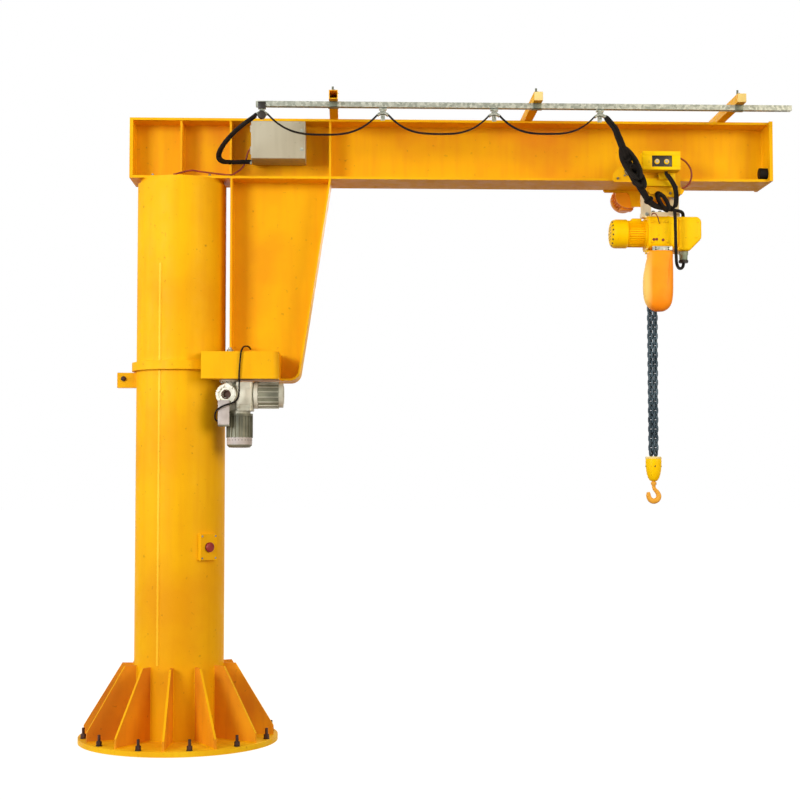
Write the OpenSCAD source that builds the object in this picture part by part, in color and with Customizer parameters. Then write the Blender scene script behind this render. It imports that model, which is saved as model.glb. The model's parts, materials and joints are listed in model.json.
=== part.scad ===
// Motorised pillar jib crane. A round column on a gusseted base carries a slewing
// H-section jib with an electric chain hoist, a cable festoon and a slewing drive.
// Millimetres, +Z up. The origin is on the floor at the column's axis, and the jib
// lies along +X.

/* [Column] */
// Outer diameter of the column tube
column_d = 530; // [460:10:580]
// Wall of the column tube
column_wall = 12; // [8:1:20]
// Height of the column's top above the floor
column_top = 3317; // [3000:1:3600]
// Thickness of the head plate let into the column's top
head_t = 25; // [15:1:40]
// Diameter of the slewing spigot on the head plate
spigot_d = 240; // [160:5:300]

/* [Base] */
// Diameter of the base plate
base_d = 1176; // [1000:2:1300]
// Thickness of the base plate
base_t = 30; // [20:1:50]
// Number of gussets, and of anchor holes between them
gusset_count = 12; // [8:2:16]
// Thickness of a gusset
gusset_t = 12; // [8:1:25]
// Height of the gussets' top above the floor
gusset_top = 455; // [350:5:600]
// Radial width of a gusset at its top
gusset_top_w = 72; // [50:5:120]
// Distance of the gussets' outer ends from the base plate's edge
gusset_edge = 23; // [10:1:60]
// Height of a gusset's upright outer end
gusset_end_h = 55; // [40:5:150]
// Distance of the anchor holes' centres from the base plate's edge
anchor_edge = 32; // [30:1:60]
// Diameter of an anchor hole
anchor_hole_d = 33; // [22:1:40]
// Turn of the gussets from the jib at rest
gusset_turn = -2.5; // [-15:0.5:15]

/* [Guide ring and stop] */
// Height of the guide ring's underside above the floor
ring_z = 2190; // [1900:5:2400]
// Height of the guide ring
ring_h = 50; // [40:1:60]
// How far the guide ring stands out from the column
ring_out = 27; // [15:1:30]
// How far the stop ear reaches out from the column
ear_reach = 113; // [90:1:130]
// Width of the stop ear across the column
ear_w = 60; // [40:5:80]
// Height of the stop ear
ear_h = 90; // [60:5:120]
// Diameter of the buffer bolt's hole in the stop ear
ear_hole_d = 18; // [10:1:24]

/* [Stop station] */
// Height of the stop station's centre above the floor
station_z = 1150; // [800:10:1500]
// Angle of the stop station round the column, from the jib at rest
station_angle = -48; // [-80:1:-30]
// Width of the stop station's box
station_w = 118; // [90:2:140]
// Height of the stop station's box
station_h = 152; // [110:2:180]
// How far the stop station stands out from the column
station_out = 22; // [16:1:60]
// Diameter of the mushroom push button
button_d = 52; // [40:1:70]
// How far the push button travels
button_travel = 5; // [3:1:6]

/* [Jib beam] */
// Length of the jib from its rear end to its tip
jib_length = 3860; // [3500:10:4200]
// How far the jib's rear end lies behind the column's axis
jib_rear = 300; // [290:5:400]
// Depth of the jib beam
jib_depth = 362; // [300:2:420]
// Width of the jib's flanges
flange_w = 300; // [260:5:320]
// Thickness of the jib's flanges
flange_t = 15; // [10:1:20]
// Thickness of the jib's web
web_t = 10; // [8:1:14]
// Width of the end plate at the tip
tip_plate_w = 360; // [340:5:400]
// Thickness of the end plates
end_plate_t = 20; // [12:1:25]
// Thickness of the web stiffeners
stiffener_t = 12; // [8:1:16]
// How far the stiffeners' edges lie inside the flanges' edges
stiffener_inset = 10; // [5:1:20]

/* [Slewing bearing] */
// Height of the slewing bearing between the column and the jib
bearing_h = 23; // [18:1:40]
// Outer diameter of the slewing bearing
bearing_d = 500; // [420:5:520]
// Running clearance round the spigot
spigot_fit = 0.1; // [0.05:0.05:0.1]

/* [Haunch] */
// Distance of the haunch's inner flange from the column's axis
haunch_inner_x = 300; // [298:1:330]
// Distance of the haunch's outer edge from the axis, at the jib
haunch_top_x = 900; // [800:10:1000]
// Distance of the haunch's outer edge from the axis, at its foot
haunch_foot_x = 712; // [690:2:780]
// Width of the haunch's flanges
haunch_w = 300; // [240:5:300]
// Thickness of the haunch's web and flanges
haunch_t = 12; // [10:1:16]
// Outer radius of the haunch's lower corner
haunch_corner_r = 65; // [40:5:90]

/* [Roller yoke] */
// Height of the yoke's underside above the floor
yoke_z = 2131; // [1860:1:2350]
// Height of the roller yoke
yoke_h = 159; // [150:1:180]
// Distance of the yoke's near edge from the column's axis
yoke_near_x = 150; // [130:5:170]
// Distance of the yoke's far edge from the column's axis
yoke_far_x = 600; // [560:5:640]
// Width of the yoke across the jib
yoke_w = 670; // [650:5:720]
// Thickness of the yoke's plates
yoke_t = 12; // [8:1:16]
// Radius of the yoke's outer corners
yoke_corner_r = 40; // [20:5:60]
// Clearance between the yoke and the guide ring
yoke_gap = 7; // [6:1:8]
// Diameter of a guide roller
roller_d = 100; // [80:2:106]
// Angle of the guide rollers from the jib's line
roller_angle = 50; // [46:1:54]
// Diameter of the drive roller
drive_roller_d = 160; // [140:5:170]
// Sideways offset of the slewing drive from the jib's line
drive_y = -208; // [-220:4:-190]
// Gap between a roller and the guide ring
roller_gap = 0.3; // [0.2:0.1:1]

/* [Slewing drive] */
// Depth of the gear case under the yoke
gearbox_w = 150; // [120:2:150]
// Width of the gear case along the jib
case_w = 102; // [90:2:120]
// Height of the gear unit under the yoke
gearbox_h = 200; // [150:5:220]
// Diameter of the vertical motor
slew_motor_d = 158; // [120:2:160]
// Length of the vertical motor with its fan cover
slew_motor_l = 198; // [180:2:260]
// Diameter of the horizontal primary gear case
primary_d = 162; // [120:2:170]
// Length of the horizontal primary gear case
primary_l = 174; // [140:2:200]
// How far the inspection boss stands from the gear housing's centre
boss_l = 98; // [90:1:100]
// Diameter of the inspection boss on the gear housing
boss_d = 120; // [100:2:124]

/* [Cabinet] */
// Width of the electrical cabinet
cabinet_w = 320; // [260:5:360]
// Height of the electrical cabinet
cabinet_h = 222; // [180:2:240]
// Depth of the electrical cabinet
cabinet_d = 205; // [150:5:220]
// Distance of the cabinet's near side from the column's axis
cabinet_x = 428; // [400:2:460]
// Gap between the cabinet and the jib's web
cabinet_standoff = 20; // [10:1:30]
// Gap between the cabinet and the jib's top flange
cabinet_drop = 20; // [5:1:30]

/* [Festoon] */
// Side of the square festoon arms
arm_w = 50; // [40:1:60]
// Wall of the festoon arms
arm_wall = 4; // [3:0.5:5]
// How far the festoon arms' tips lie from the jib's centre line
arm_reach = 645; // [600:5:700]
// Distance of the first arm from the column's axis
arm_first_x = 917; // [880:5:1000]
// Spacing of the festoon arms
arm_pitch = 1168; // [1000:4:1250]
// Distance of the festoon rail from the jib's centre line
rail_y = 560; // [520:5:600]
// Width of the festoon rail
rail_w = 40; // [36:1:50]
// Height of the festoon rail
rail_h = 30; // [28:1:36]
// Wall of the festoon rail
rail_wall = 2.5; // [2:0.5:3]
// Width of the slot along the rail's underside
rail_slot = 14; // [12:1:18]
// Distance of the rail's near end from the column's axis
rail_near_x = 475; // [460:5:485]
// Radius of the cable saddles
saddle_r = 40; // [32:1:42]
// Width of the flat festoon cable
flat_cable_w = 26; // [20:1:30]
// Thickness of the flat festoon cable
flat_cable_t = 8; // [6:1:10]

/* [Trolley] */
// Distance of the load chain from the jib's tip, at rest
chain_to_tip = 703; // [660:1:1400]
// Length of a trolley side plate
side_plate_l = 408; // [380:4:420]
// Thickness of a trolley side plate
side_plate_t = 12; // [8:1:16]
// Clearance between the side plates and the jib's flange
side_plate_gap = 15; // [12:1:20]
// Diameter of a trolley wheel's tread
wheel_d = 80; // [70:2:90]
// Spacing of the trolley's wheels along the jib
wheelbase = 205; // [180:5:230]
// Diameter of the trolley's tie bars
tie_bar_d = 32; // [24:1:40]
// Diameter of the travel motor
travel_motor_d = 164; // [130:2:170]
// Length of the travel motor
travel_motor_l = 235; // [180:5:260]
// Diameter of the end buffers
buffer_d = 66; // [50:2:80]
// Length of the end buffers
buffer_l = 50; // [40:5:90]

/* [Hoist] */
// Height of the hoist's axis above the floor
hoist_z = 3042; // [2950:1:3060]
// Diameter of the hoist motor's body
hoist_motor_d = 164; // [140:2:180]
// Diameter of the hoist motor's fan cover
fan_cover_d = 176; // [160:2:190]
// Length of the hoist motor with its fan cover
hoist_motor_l = 220; // [200:2:240]
// Length of the fan cover
fan_cover_l = 104; // [80:2:120]
// Side of the hoist's gear housing
housing_w = 196; // [180:2:210]
// Length of the gear housing along the jib
housing_l = 177; // [160:1:200]
// Length of the electrical cover at the hoist's end
cover_l = 149; // [130:1:180]
// Width of the chain bag
bag_w = 168; // [140:2:210]
// Height of the chain bag
bag_h = 372; // [300:2:400]
// Depth of the chain bag
bag_d = 130; // [100:5:150]

/* [Load chain and hook] */
// Diameter of the chain's wire
chain_d = 13; // [10:0.5:14]
// Inside width of a chain link
link_inside_w = 14.5; // [14:0.5:18]
// Nominal inside length of a chain link
link_pitch = 31; // [29:1:36]
// Gap between the chain bag and the hook block as it passes
bag_gap = 6; // [5:1:12]
// Spacing of the two chain falls
fall_pitch = 37; // [34:1:44]
// Height of the hook block's top above the floor, at rest
block_top = 1681; // [1500:1:2000]
// Height of the hook block
block_h = 146; // [130:2:160]
// Greatest diameter of the hook block
block_d = 96; // [84:2:100]
// Diameter of the hook's section
hook_bar_d = 24; // [18:1:26]
// Inside diameter of the hook's bowl
hook_bowl_d = 37; // [34:1:50]
// Length of the hook's neck between the block and the bowl
hook_neck = 48; // [40:1:70]
// Running clearance round the hook's stem
hook_fit = 0.1; // [0.05:0.05:0.1]

/* [Hidden] */

yellow = [0.94, 0.68, 0.11];
bright_yellow = [0.98, 0.78, 0.06];
orange = [0.97, 0.58, 0.12];
steel = [0.62, 0.64, 0.62];
cast_grey = [0.76, 0.76, 0.70];
dark = [0.14, 0.12, 0.11];
red = [0.62, 0.10, 0.08];
cabinet_grey = [0.74, 0.72, 0.65];

$fn = 64;
over = 1;                                  // how far a cutting tool passes its work
seat_gap = 0.3;                            // running gap between pieces of two bodies

jib_z0 = column_top + bearing_h;           // underside of the jib
jib_z1 = jib_z0 + jib_depth;               // top of the jib
jib_x0 = -jib_rear;
jib_x1 = jib_length - jib_rear;            // outer face of the tip plate
chain_x = jib_x1 - chain_to_tip;
gusset_reach = base_d / 2 - gusset_edge;
anchor_r = base_d / 2 - anchor_edge;
ring_r = column_d / 2 + ring_out;
drive_roller_dist = ring_r + roller_gap + drive_roller_d / 2;
drive_x = sqrt(pow(drive_roller_dist, 2) - pow(drive_y, 2));
roller_dist = ring_r + roller_gap + roller_d / 2;
yoke_z1 = yoke_z + yoke_h;
neck_h = 16;                               // gap between the gear case and the yoke
motor_offset = 58;                         // the motor's axis, to the side of the drive roller's
terminal_reach = 118;                      // reach of the motor's terminal box from its axis
terminal_x = drive_x + motor_offset - terminal_reach;
boss_turn = -100;                          // direction that the output boss faces
haunch_slope = (haunch_top_x - haunch_foot_x) / (jib_z0 - yoke_z);
web_notch_x = drive_x + drive_roller_d / 2 + 22;
wheel_z = jib_z0 + flange_t + seat_gap + wheel_d / 2;
side_plate_y = flange_w / 2 + side_plate_gap;
trolley_x0 = chain_x - 267;                // near end of the side plates
trolley_x1 = trolley_x0 + side_plate_l;
wheel_x = [trolley_x0 + 100, trolley_x0 + 100 + wheelbase];
tie_bar_x = [chain_x - 34, chain_x + 136];
tie_bar_z = jib_z0 - 66;
housing_x0 = chain_x - 37;
housing_z0 = hoist_z - housing_w / 2;
housing_z1 = hoist_z + housing_w / 2;
chain_guide_h = 20;
gland_x = 48;                              // plug socket under the hoist's electrical cover
gland_y = -28;
gland_l = 70;
chain_z1 = housing_z0 - chain_guide_h - seat_gap;
rail_z1 = jib_z1;
rail_z0 = rail_z1 - rail_h;
saddle_z = rail_z0 - saddle_r - 32;        // centre of the cable saddles
saddle_x = [510, 1200, 1840, 2450];        // saddles along the rail, at rest
wrap = 48;                                 // half angle of cable on a saddle
cable_r = saddle_r + flat_cable_t / 2;     // centre line of the cable on a saddle
wrap_tangent = [cos(wrap), 0, sin(wrap)];  // run of the cable where it leaves a saddle
clamp_left = [saddle_x[0] - cable_r * sin(wrap), -rail_y, saddle_z + cable_r * cos(wrap)];
drop_right = [saddle_x[3] + cable_r * sin(wrap), -rail_y, saddle_z + cable_r * cos(wrap)];
cord_start = [0.8, 9, 20];                 // first points of a cord, measured from its saddle
bowl_r = (hook_bowl_d + hook_bar_d) / 2;
hook_z = block_top - block_h - hook_neck - hook_bar_d / 2 - bowl_r;

// ---------------------------------------------------------------- shared shapes

// A cylinder along X, from x to x + l.
module bar_x(x, y, z, d, l) {
    translate([x, y, z]) rotate([0, 90, 0]) cylinder(d = d, h = l);
}

// A cylinder along Y, from y to y + l.
module bar_y(x, y, z, d, l) {
    translate([x, y, z]) rotate([-90, 0, 0]) cylinder(d = d, h = l);
}

// A box between two corners.
module box(a, b) {
    translate(a) cube([b[0] - a[0], b[1] - a[1], b[2] - a[2]]);
}

// A plate in the XZ plane, from y to y + t, whose outline is drawn as (x, z).
module plate_xz(y, t) {
    translate([0, y + t, 0]) rotate([90, 0, 0]) linear_extrude(t) children();
}

// A rectangle with round corners, between two corners.
module round_rect(a, b, r) {
    translate([a[0] + r, a[1]]) square([b[0] - a[0] - 2 * r, b[1] - a[1]]);
    translate([a[0], a[1] + r]) square([b[0] - a[0], b[1] - a[1] - 2 * r]);
    for (x = [a[0] + r, b[0] - r], y = [a[1] + r, b[1] - r]) translate([x, y]) circle(r = r);
}

// A tube of `sides` flat sides swept along 3D points.
function unit(v) = v / norm(v);
function tangent(p, i) = unit(p[min(i + 1, len(p) - 1)] - p[max(i - 1, 0)]);
function upright(t) = abs(t[2]) > 0.9 ? [1, 0, 0] : [0, 0, 1];
function next_side(s, t) = unit(s - (s * t) * t);
function sides_of(p, i) = i == 0
    ? [next_side(cross(tangent(p, 0), upright(tangent(p, 0))), tangent(p, 0))]
    : let (before = sides_of(p, i - 1)) concat(before, [next_side(before[i - 1], tangent(p, i))]);
function spline_point(a, b, c, d, t) =
    0.5 * ((2 * b) + (c - a) * t + (2 * a - 5 * b + 4 * c - d) * t * t
    + (3 * b - a - 3 * c + d) * t * t * t);
function smooth(p, steps) = concat(
    [for (i = [0:len(p) - 2], k = [0:steps - 1])
        spline_point(p[max(i - 1, 0)], p[i], p[i + 1], p[min(i + 2, len(p) - 1)], k / steps)],
    [p[len(p) - 1]]);

module cord(route, d, steps = 4, sides = 8) {
    p = smooth(route, steps);
    n = len(p);
    side = sides_of(p, n - 1);
    points = [for (i = [0:n - 1], k = [0:sides - 1])
        let (a = 360 * k / sides, up = cross(tangent(p, i), side[i]))
        p[i] + d / 2 * (cos(a) * side[i] + sin(a) * up)];
    walls = [for (i = [0:n - 2], k = [0:sides - 1])
        let (k1 = (k + 1) % sides)
        [i * sides + k, (i + 1) * sides + k, (i + 1) * sides + k1, i * sides + k1]];
    first = [[for (k = [0:sides - 1]) k]];
    last = [[for (k = [sides - 1:-1:0]) (n - 1) * sides + k]];
    polyhedron(points, concat(walls, first, last), convexity = 6);
}

// ---------------------------------------------------------------- column and base

module base_plate() {
    color(yellow) difference() {
        cylinder(d = base_d, h = base_t, $fn = 128);
        for (i = [0:gusset_count - 1]) {
            rotate(360 * (i + 0.5) / gusset_count + gusset_turn)
                translate([anchor_r, 0, -over])
                    cylinder(d = anchor_hole_d, h = base_t + 2 * over, $fn = 32);
        }
    }
}

module base_gussets() {
    top_x = column_d / 2 + gusset_top_w;
    color(yellow) difference() {
        for (i = [0:gusset_count - 1]) {
            rotate(360 * i / gusset_count + gusset_turn) plate_xz(-gusset_t / 2, gusset_t)
                polygon([
                    [column_d / 2 - column_wall / 2, base_t], [gusset_reach, base_t],
                    [gusset_reach, base_t + gusset_end_h], [top_x, gusset_top],
                    [column_d / 2 - column_wall / 2, gusset_top]
                ]);
        }
        cylinder(d = column_d, h = gusset_top + over, $fn = 128);
    }
}

module column_tube() {
    color(yellow) difference() {
        translate([0, 0, base_t]) cylinder(d = column_d, h = column_top - base_t, $fn = 128);
        translate([0, 0, base_t - over])
            cylinder(d = column_d - 2 * column_wall, h = column_top - base_t + 2 * over, $fn = 128);
    }
}

module head_plate() {
    spigot_h = bearing_h - 5;
    color(steel) translate([0, 0, column_top - head_t])
        cylinder(d = column_d - 2 * column_wall, h = head_t, $fn = 128);
    color(steel) translate([0, 0, column_top - over]) cylinder(d = spigot_d, h = spigot_h + over);
}

module guide_ring() {
    color(yellow) difference() {
        translate([0, 0, ring_z]) cylinder(r = ring_r, h = ring_h, $fn = 128);
        translate([0, 0, ring_z - over]) cylinder(d = column_d, h = ring_h + 2 * over, $fn = 128);
    }
}

module stop_ear() {
    ear_z1 = ring_z - 6;
    ear_x = -column_d / 2 - ear_reach;
    color(yellow) difference() {
        box([ear_x, -ear_w / 2, ear_z1 - ear_h], [-column_d / 2 + 10, ear_w / 2, ear_z1]);
        translate([0, 0, ear_z1 - ear_h - over]) cylinder(d = column_d, h = ear_h + 2 * over, $fn = 128);
        bar_y(ear_x + 38, -ear_w / 2 - over, ear_z1 - 36, ear_hole_d, ear_w + 2 * over);
    }
}

module stop_station() {
    face = column_d / 2 + station_out;
    color(yellow) difference() {
        rotate(station_angle) translate([0, 0, station_z])
            box([column_d / 2 - 10, -station_w / 2, -station_h / 2], [face, station_w / 2, station_h / 2]);
        cylinder(d = column_d, h = station_z + station_h, $fn = 128);
        rotate(station_angle) bar_x(face - 12, 0, station_z, 24.4, 12 + over);
    }
}

module stop_button() {
    face = column_d / 2 + station_out;
    color(red) rotate(station_angle) {
        bar_x(face - 12 + button_travel + 1, 0, station_z, 24, 12);
        bar_x(face + button_travel + 1, 0, station_z, button_d, 14);
    }
}

// ---------------------------------------------------------------- jib and haunch

module jib_flanges() {
    span = [jib_x0 + end_plate_t, jib_x1 - end_plate_t];
    color(yellow) for (z = [jib_z0, jib_z1 - flange_t]) {
        box([span[0], -flange_w / 2, z], [span[1], flange_w / 2, z + flange_t]);
    }
}

module jib_web() {
    color(yellow) box([jib_x0 + end_plate_t, -web_t / 2, jib_z0 + flange_t],
        [jib_x1 - end_plate_t, web_t / 2, jib_z1 - flange_t]);
}

module jib_end_plates() {
    color(yellow) {
        box([jib_x0, -flange_w / 2, jib_z0], [jib_x0 + end_plate_t, flange_w / 2, jib_z1]);
        box([jib_x1 - end_plate_t, -tip_plate_w / 2, jib_z0], [jib_x1, tip_plate_w / 2, jib_z1]);
    }
}

module jib_stiffeners() {
    depth = flange_w / 2 - stiffener_inset;
    places = [0, haunch_inner_x - haunch_t / 2, haunch_top_x - haunch_t];
    color(yellow) for (x = places, side = [0, 1]) {
        mirror([0, side, 0]) box([x, web_t / 2, jib_z0 + flange_t],
            [x + stiffener_t, depth, jib_z1 - flange_t]);
    }
}

module slew_bearing() {
    color(steel) difference() {
        translate([0, 0, column_top + seat_gap])
            cylinder(d = bearing_d, h = bearing_h - seat_gap, $fn = 128);
        translate([0, 0, column_top - over])
            cylinder(d = spigot_d + 2 * spigot_fit, h = bearing_h + 2 * over);
    }
}

// The haunch's side view as (x, z), drawn in from its outer edge by `inset`.
module haunch_outline(inset) {
    r = haunch_corner_r - inset;
    stretch = sqrt(1 + haunch_slope * haunch_slope);
    z = yoke_z + haunch_corner_r;
    edge_x = haunch_foot_x + (z - yoke_z) * haunch_slope;
    x = edge_x - haunch_corner_r * stretch;
    top_x = haunch_top_x - inset * stretch;
    translate([x, z]) circle(r = r, $fn = 96);
    polygon([
        [haunch_inner_x, yoke_z + inset], [x, yoke_z + inset], [x, z],
        [x + r / stretch, z - r * haunch_slope / stretch],
        [top_x, jib_z0], [haunch_inner_x, jib_z0]
    ]);
}

module haunch_web() {
    color(yellow) plate_xz(-haunch_t / 2, haunch_t) difference() {
        haunch_outline(haunch_t);
        translate([haunch_inner_x - over, 0]) square([haunch_t + over, jib_z0]);
        translate([haunch_inner_x - over, 0]) square([web_notch_x - haunch_inner_x + over, yoke_z1]);
    }
}

module haunch_flanges() {
    color(yellow) {
        box([haunch_inner_x, -haunch_w / 2, yoke_z1], [haunch_inner_x + haunch_t, haunch_w / 2, jib_z0]);
        plate_xz(-haunch_w / 2, haunch_w) difference() {
            haunch_outline(0);
            haunch_outline(haunch_t);
            square([yoke_far_x, jib_z1]);
        }
    }
}

// The yoke's plan, drawn in from its outer edge by `inset`.
module yoke_plan(inset) {
    half = yoke_w / 2 - inset;
    near = yoke_near_x + inset;
    far = yoke_far_x - inset;
    r = yoke_corner_r - inset;
    difference() {
        union() {
            translate([near, -half]) square([far - r - near, 2 * half]);
            translate([near, -half + r]) square([far - near, 2 * (half - r)]);
            for (side = [-1, 1]) translate([far - r, side * (half - r)]) circle(r = r);
        }
        circle(r = ring_r + yoke_gap, $fn = 128);
    }
}

module yoke_plates() {
    color(yellow) {
        difference() {
            translate([0, 0, yoke_z]) linear_extrude(yoke_t) yoke_plan(0);
            translate([drive_x, drive_y, yoke_z - over]) cylinder(d = 50, h = yoke_t + 2 * over);
        }
        difference() {
            translate([0, 0, yoke_z1 - yoke_t]) linear_extrude(yoke_t) yoke_plan(0);
            box([web_notch_x, -haunch_t / 2, yoke_z1 - yoke_t - over],
                [yoke_far_x + over, haunch_t / 2, yoke_z1 + over]);
        }
    }
}

module yoke_cheeks() {
    color(yellow) difference() {
        translate([0, 0, yoke_z + yoke_t]) linear_extrude(yoke_h - 2 * yoke_t) difference() {
            yoke_plan(0);
            yoke_plan(yoke_t);
            translate([0, -haunch_w / 2]) square([yoke_far_x - yoke_t, haunch_w]);
            translate([0, -haunch_t / 2]) square([yoke_far_x + over, haunch_t]);
            circle(r = ring_r + yoke_gap + yoke_t + over, $fn = 128);
        }
    }
}

module ring_rollers() {
    pin_h = yoke_h - 2 * yoke_t;
    color(steel) {
        rotate(roller_angle) translate([roller_dist, 0, 0]) {
            translate([0, 0, ring_z]) cylinder(d = roller_d, h = ring_h);
            translate([0, 0, yoke_z + yoke_t]) cylinder(d = 25, h = pin_h);
        }
        translate([drive_x, drive_y, 0]) {
            translate([0, 0, ring_z]) cylinder(d = drive_roller_d, h = ring_h, $fn = 96);
            translate([0, 0, yoke_z]) cylinder(d = 35, h = yoke_h - yoke_t);
        }
    }
}

// ---------------------------------------------------------------- slewing drive

module slew_gearbox() {
    z0 = yoke_z - gearbox_h;
    z1 = yoke_z - neck_h;
    zp = yoke_z - 90;                      // axis of the output gear and of the primary gear case
    x0 = motor_offset - 20;
    x1 = x0 + case_w;
    color(cast_grey) translate([drive_x, drive_y, 0]) {
        translate([0, 0, zp]) cylinder(d = 72, h = yoke_z - zp);
        translate([0, 0, yoke_z - 12]) cylinder(d = 124, h = 12);
        difference() {
            translate([0, 0, zp]) rotate(boss_turn) bar_x(-52, 0, 0, boss_d, boss_l + 52);
            translate([0, 0, zp]) rotate(boss_turn) {
                bar_x(boss_l - 34, 0, 0, 42, 34 + over);
                bar_x(boss_l - 7, 0, 0, boss_d - 34, 7 + over);
            }
        }
        translate([0, 0, z0 + 16]) linear_extrude(z1 - z0 - 16)
            round_rect([x0, -gearbox_w / 2], [x1, gearbox_w / 2], 24);
        translate([motor_offset, 0, z0]) cylinder(d = 128, h = 17);
        bar_x(x1 - over, 0, zp, primary_d - 34, primary_l - 30);
        bar_x(x1 + 4, 0, zp, primary_d, 22);
        bar_x(x1 + 30, 0, zp, primary_d - 14, primary_l - 70);
        bar_x(x1 + primary_l - 34, 0, zp, primary_d - 14, 34);
    }
}

module slew_motor() {
    z1 = yoke_z - gearbox_h;
    z0 = z1 - slew_motor_l;
    cap_h = 58;
    fins = 20;
    fin_h = 9;
    core_d = slew_motor_d - 2 * fin_h;
    color(cast_grey) translate([drive_x + motor_offset, drive_y, 0]) {
        translate([0, 0, z0 + cap_h - over]) cylinder(d = core_d, h = slew_motor_l - cap_h + over);
        for (i = [0:fins - 1]) rotate(360 * i / fins)
            translate([core_d / 2 - 3, -2, z0 + cap_h - over]) cube([fin_h + 2, 4, slew_motor_l - cap_h - 14]);
        translate([0, 0, z1 - 14]) cylinder(d = slew_motor_d - 2, h = 14);
        translate([0, 0, z0 + 12]) cylinder(d = slew_motor_d - 12, h = cap_h - 12);
        translate([0, 0, z0]) cylinder(d1 = slew_motor_d - 36, d2 = slew_motor_d - 12, h = 12);
        box([-terminal_reach, -112, z1 - 76], [-50, -6, z1 - seat_gap]);
        box([-terminal_reach, -112, z1 - 2], [-68, -6, z1 + 40]);
    }
}

// ---------------------------------------------------------------- cabinet and buffers

module cabinet() {
    z1 = jib_z1 - flange_t - cabinet_drop;
    z0 = z1 - cabinet_h;
    y1 = -web_t / 2 - cabinet_standoff;
    y0 = y1 - cabinet_d;
    lid = 24;
    color(cabinet_grey) {
        box([cabinet_x, y0 + lid, z0], [cabinet_x + cabinet_w, y1, z1]);
        box([cabinet_x + 3, y0 + lid - 4, z0 + 3], [cabinet_x + cabinet_w - 3, y0 + lid + over, z1 - 3]);
        box([cabinet_x, y0, z0], [cabinet_x + cabinet_w, y0 + lid - 4, z1]);
        for (x = [cabinet_x + 30, cabinet_x + cabinet_w - 60]) {
            box([x, y1 - over, z0 + 20], [x + 30, -web_t / 2, z1 - 20]);
        }
    }
}

module end_buffers() {
    y = (flange_w + web_t) / 4 + 40;
    color(dark) for (side = [-1, 1]) {
        bar_x(jib_x1 - end_plate_t - buffer_l, side * y, wheel_z, buffer_d, buffer_l);
    }
}

// ---------------------------------------------------------------- festoon

module festoon_arms() {
    color(yellow) for (i = [0:2]) translate([arm_first_x + i * arm_pitch, 0, jib_z1]) difference() {
        box([-arm_w / 2, -arm_reach, 0], [arm_w / 2, flange_w / 2, arm_w]);
        box([-arm_w / 2 + arm_wall, -arm_reach - over, arm_wall],
            [arm_w / 2 - arm_wall, flange_w / 2 + over, arm_w - arm_wall]);
    }
}

module festoon_rail() {
    color(steel) translate([rail_near_x, -rail_y, rail_z0]) difference() {
        box([0, -rail_w / 2, 0], [jib_x1 - rail_near_x, rail_w / 2, rail_h]);
        box([-over, -rail_w / 2 + rail_wall, rail_wall],
            [jib_x1 - rail_near_x + over, rail_w / 2 - rail_wall, rail_h - rail_wall]);
        box([-over, -rail_slot / 2, -over], [jib_x1 - rail_near_x + over, rail_slot / 2, rail_wall + over]);
    }
}

// A wedge that leaves what lies within `wrap` degrees of straight up, as (x, z).
module wrap_wedge(r) {
    polygon([[0, 0], [r * 2 * tan(wrap), r * 2], [-r * 2 * tan(wrap), r * 2]]);
}

// The saddle that the flat cable lies on, the cable's turn over it, and its hanger.
module saddle() {
    color(dark) plate_xz(-flat_cable_w / 2, flat_cable_w) intersection() {
        difference() {
            circle(r = saddle_r + flat_cable_t);
            circle(r = saddle_r);
        }
        wrap_wedge(saddle_r + flat_cable_t);
    }
    color(steel) plate_xz(-flat_cable_w / 2 - 4, flat_cable_w + 8) difference() {
        intersection() {
            circle(r = saddle_r);
            wrap_wedge(saddle_r);
        }
        circle(r = saddle_r - 5);
    }
    color(steel) box([-12, flat_cable_w / 2 + 1, 2], [12, flat_cable_w / 2 + 4, rail_z0 - saddle_z - 8]);
}

module carriage(x) {
    stem_z = rail_z0 - saddle_z;
    color(steel) translate([x, -rail_y, saddle_z]) {
        saddle();
        box([-22, -4, stem_z - 12], [22, flat_cable_w / 2 + 4, stem_z - 6]);
        box([-22, -4, stem_z - 12], [22, 4, stem_z + rail_wall + 14]);
        for (wx = [-13, 13], y = [-15, 5]) {
            bar_y(wx, y, stem_z + rail_wall + seat_gap + 9, 18, 10);
        }
    }
}

module festoon_clamp() {
    stem_z = rail_z0 - saddle_z;
    color(steel) translate([saddle_x[0], -rail_y, saddle_z]) {
        saddle();
        box([-22, -4, stem_z - 12], [22, flat_cable_w / 2 + 4, stem_z - 6]);
        box([-22, -rail_w / 2, stem_z - 6 - over], [22, rail_w / 2, stem_z]);
    }
}

// One hanging bight of flat cable between two saddles.
module festoon_loop(x0, x1) {
    reach = cable_r * sin(wrap);
    a = x0 + reach;
    b = x1 - reach - 2 * seat_gap;
    z = saddle_z + cable_r * cos(wrap);
    n = 28;
    half = (b - a) / 2;
    sag = half * tan(wrap) / 3;
    h = flat_cable_t / 2;
    share = [for (i = [0:n]) 2 * i / n - 1];
    slope = [for (u = share) tan(wrap) * u * abs(u)];
    line = [for (u = share) [a + half * (u + 1), z - sag * (1 - pow(abs(u), 3))]];
    normal = [for (s = slope) [-s, 1] / sqrt(1 + s * s)];
    color(dark) translate([0, -rail_y, 0]) plate_xz(-flat_cable_w / 2, flat_cable_w)
        polygon(concat([for (i = [0:n]) line[i] + h * normal[i]],
            [for (i = [n:-1:0]) line[i] - h * normal[i]]));
}

supply_route = concat([for (s = cord_start) clamp_left - s * wrap_tangent], [
    [400, -540, 3572], [345, -500, 3535],
    [290, -440, 3490], [255, -370, 3455], [245, -310, 3430], [262, -250, 3420],
    [300, -205, 3425], [350, -175, 3432], [396, -161, 3436], [412, -160, 3436], [cabinet_x - 0.4, -160, 3436]
]);

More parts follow.
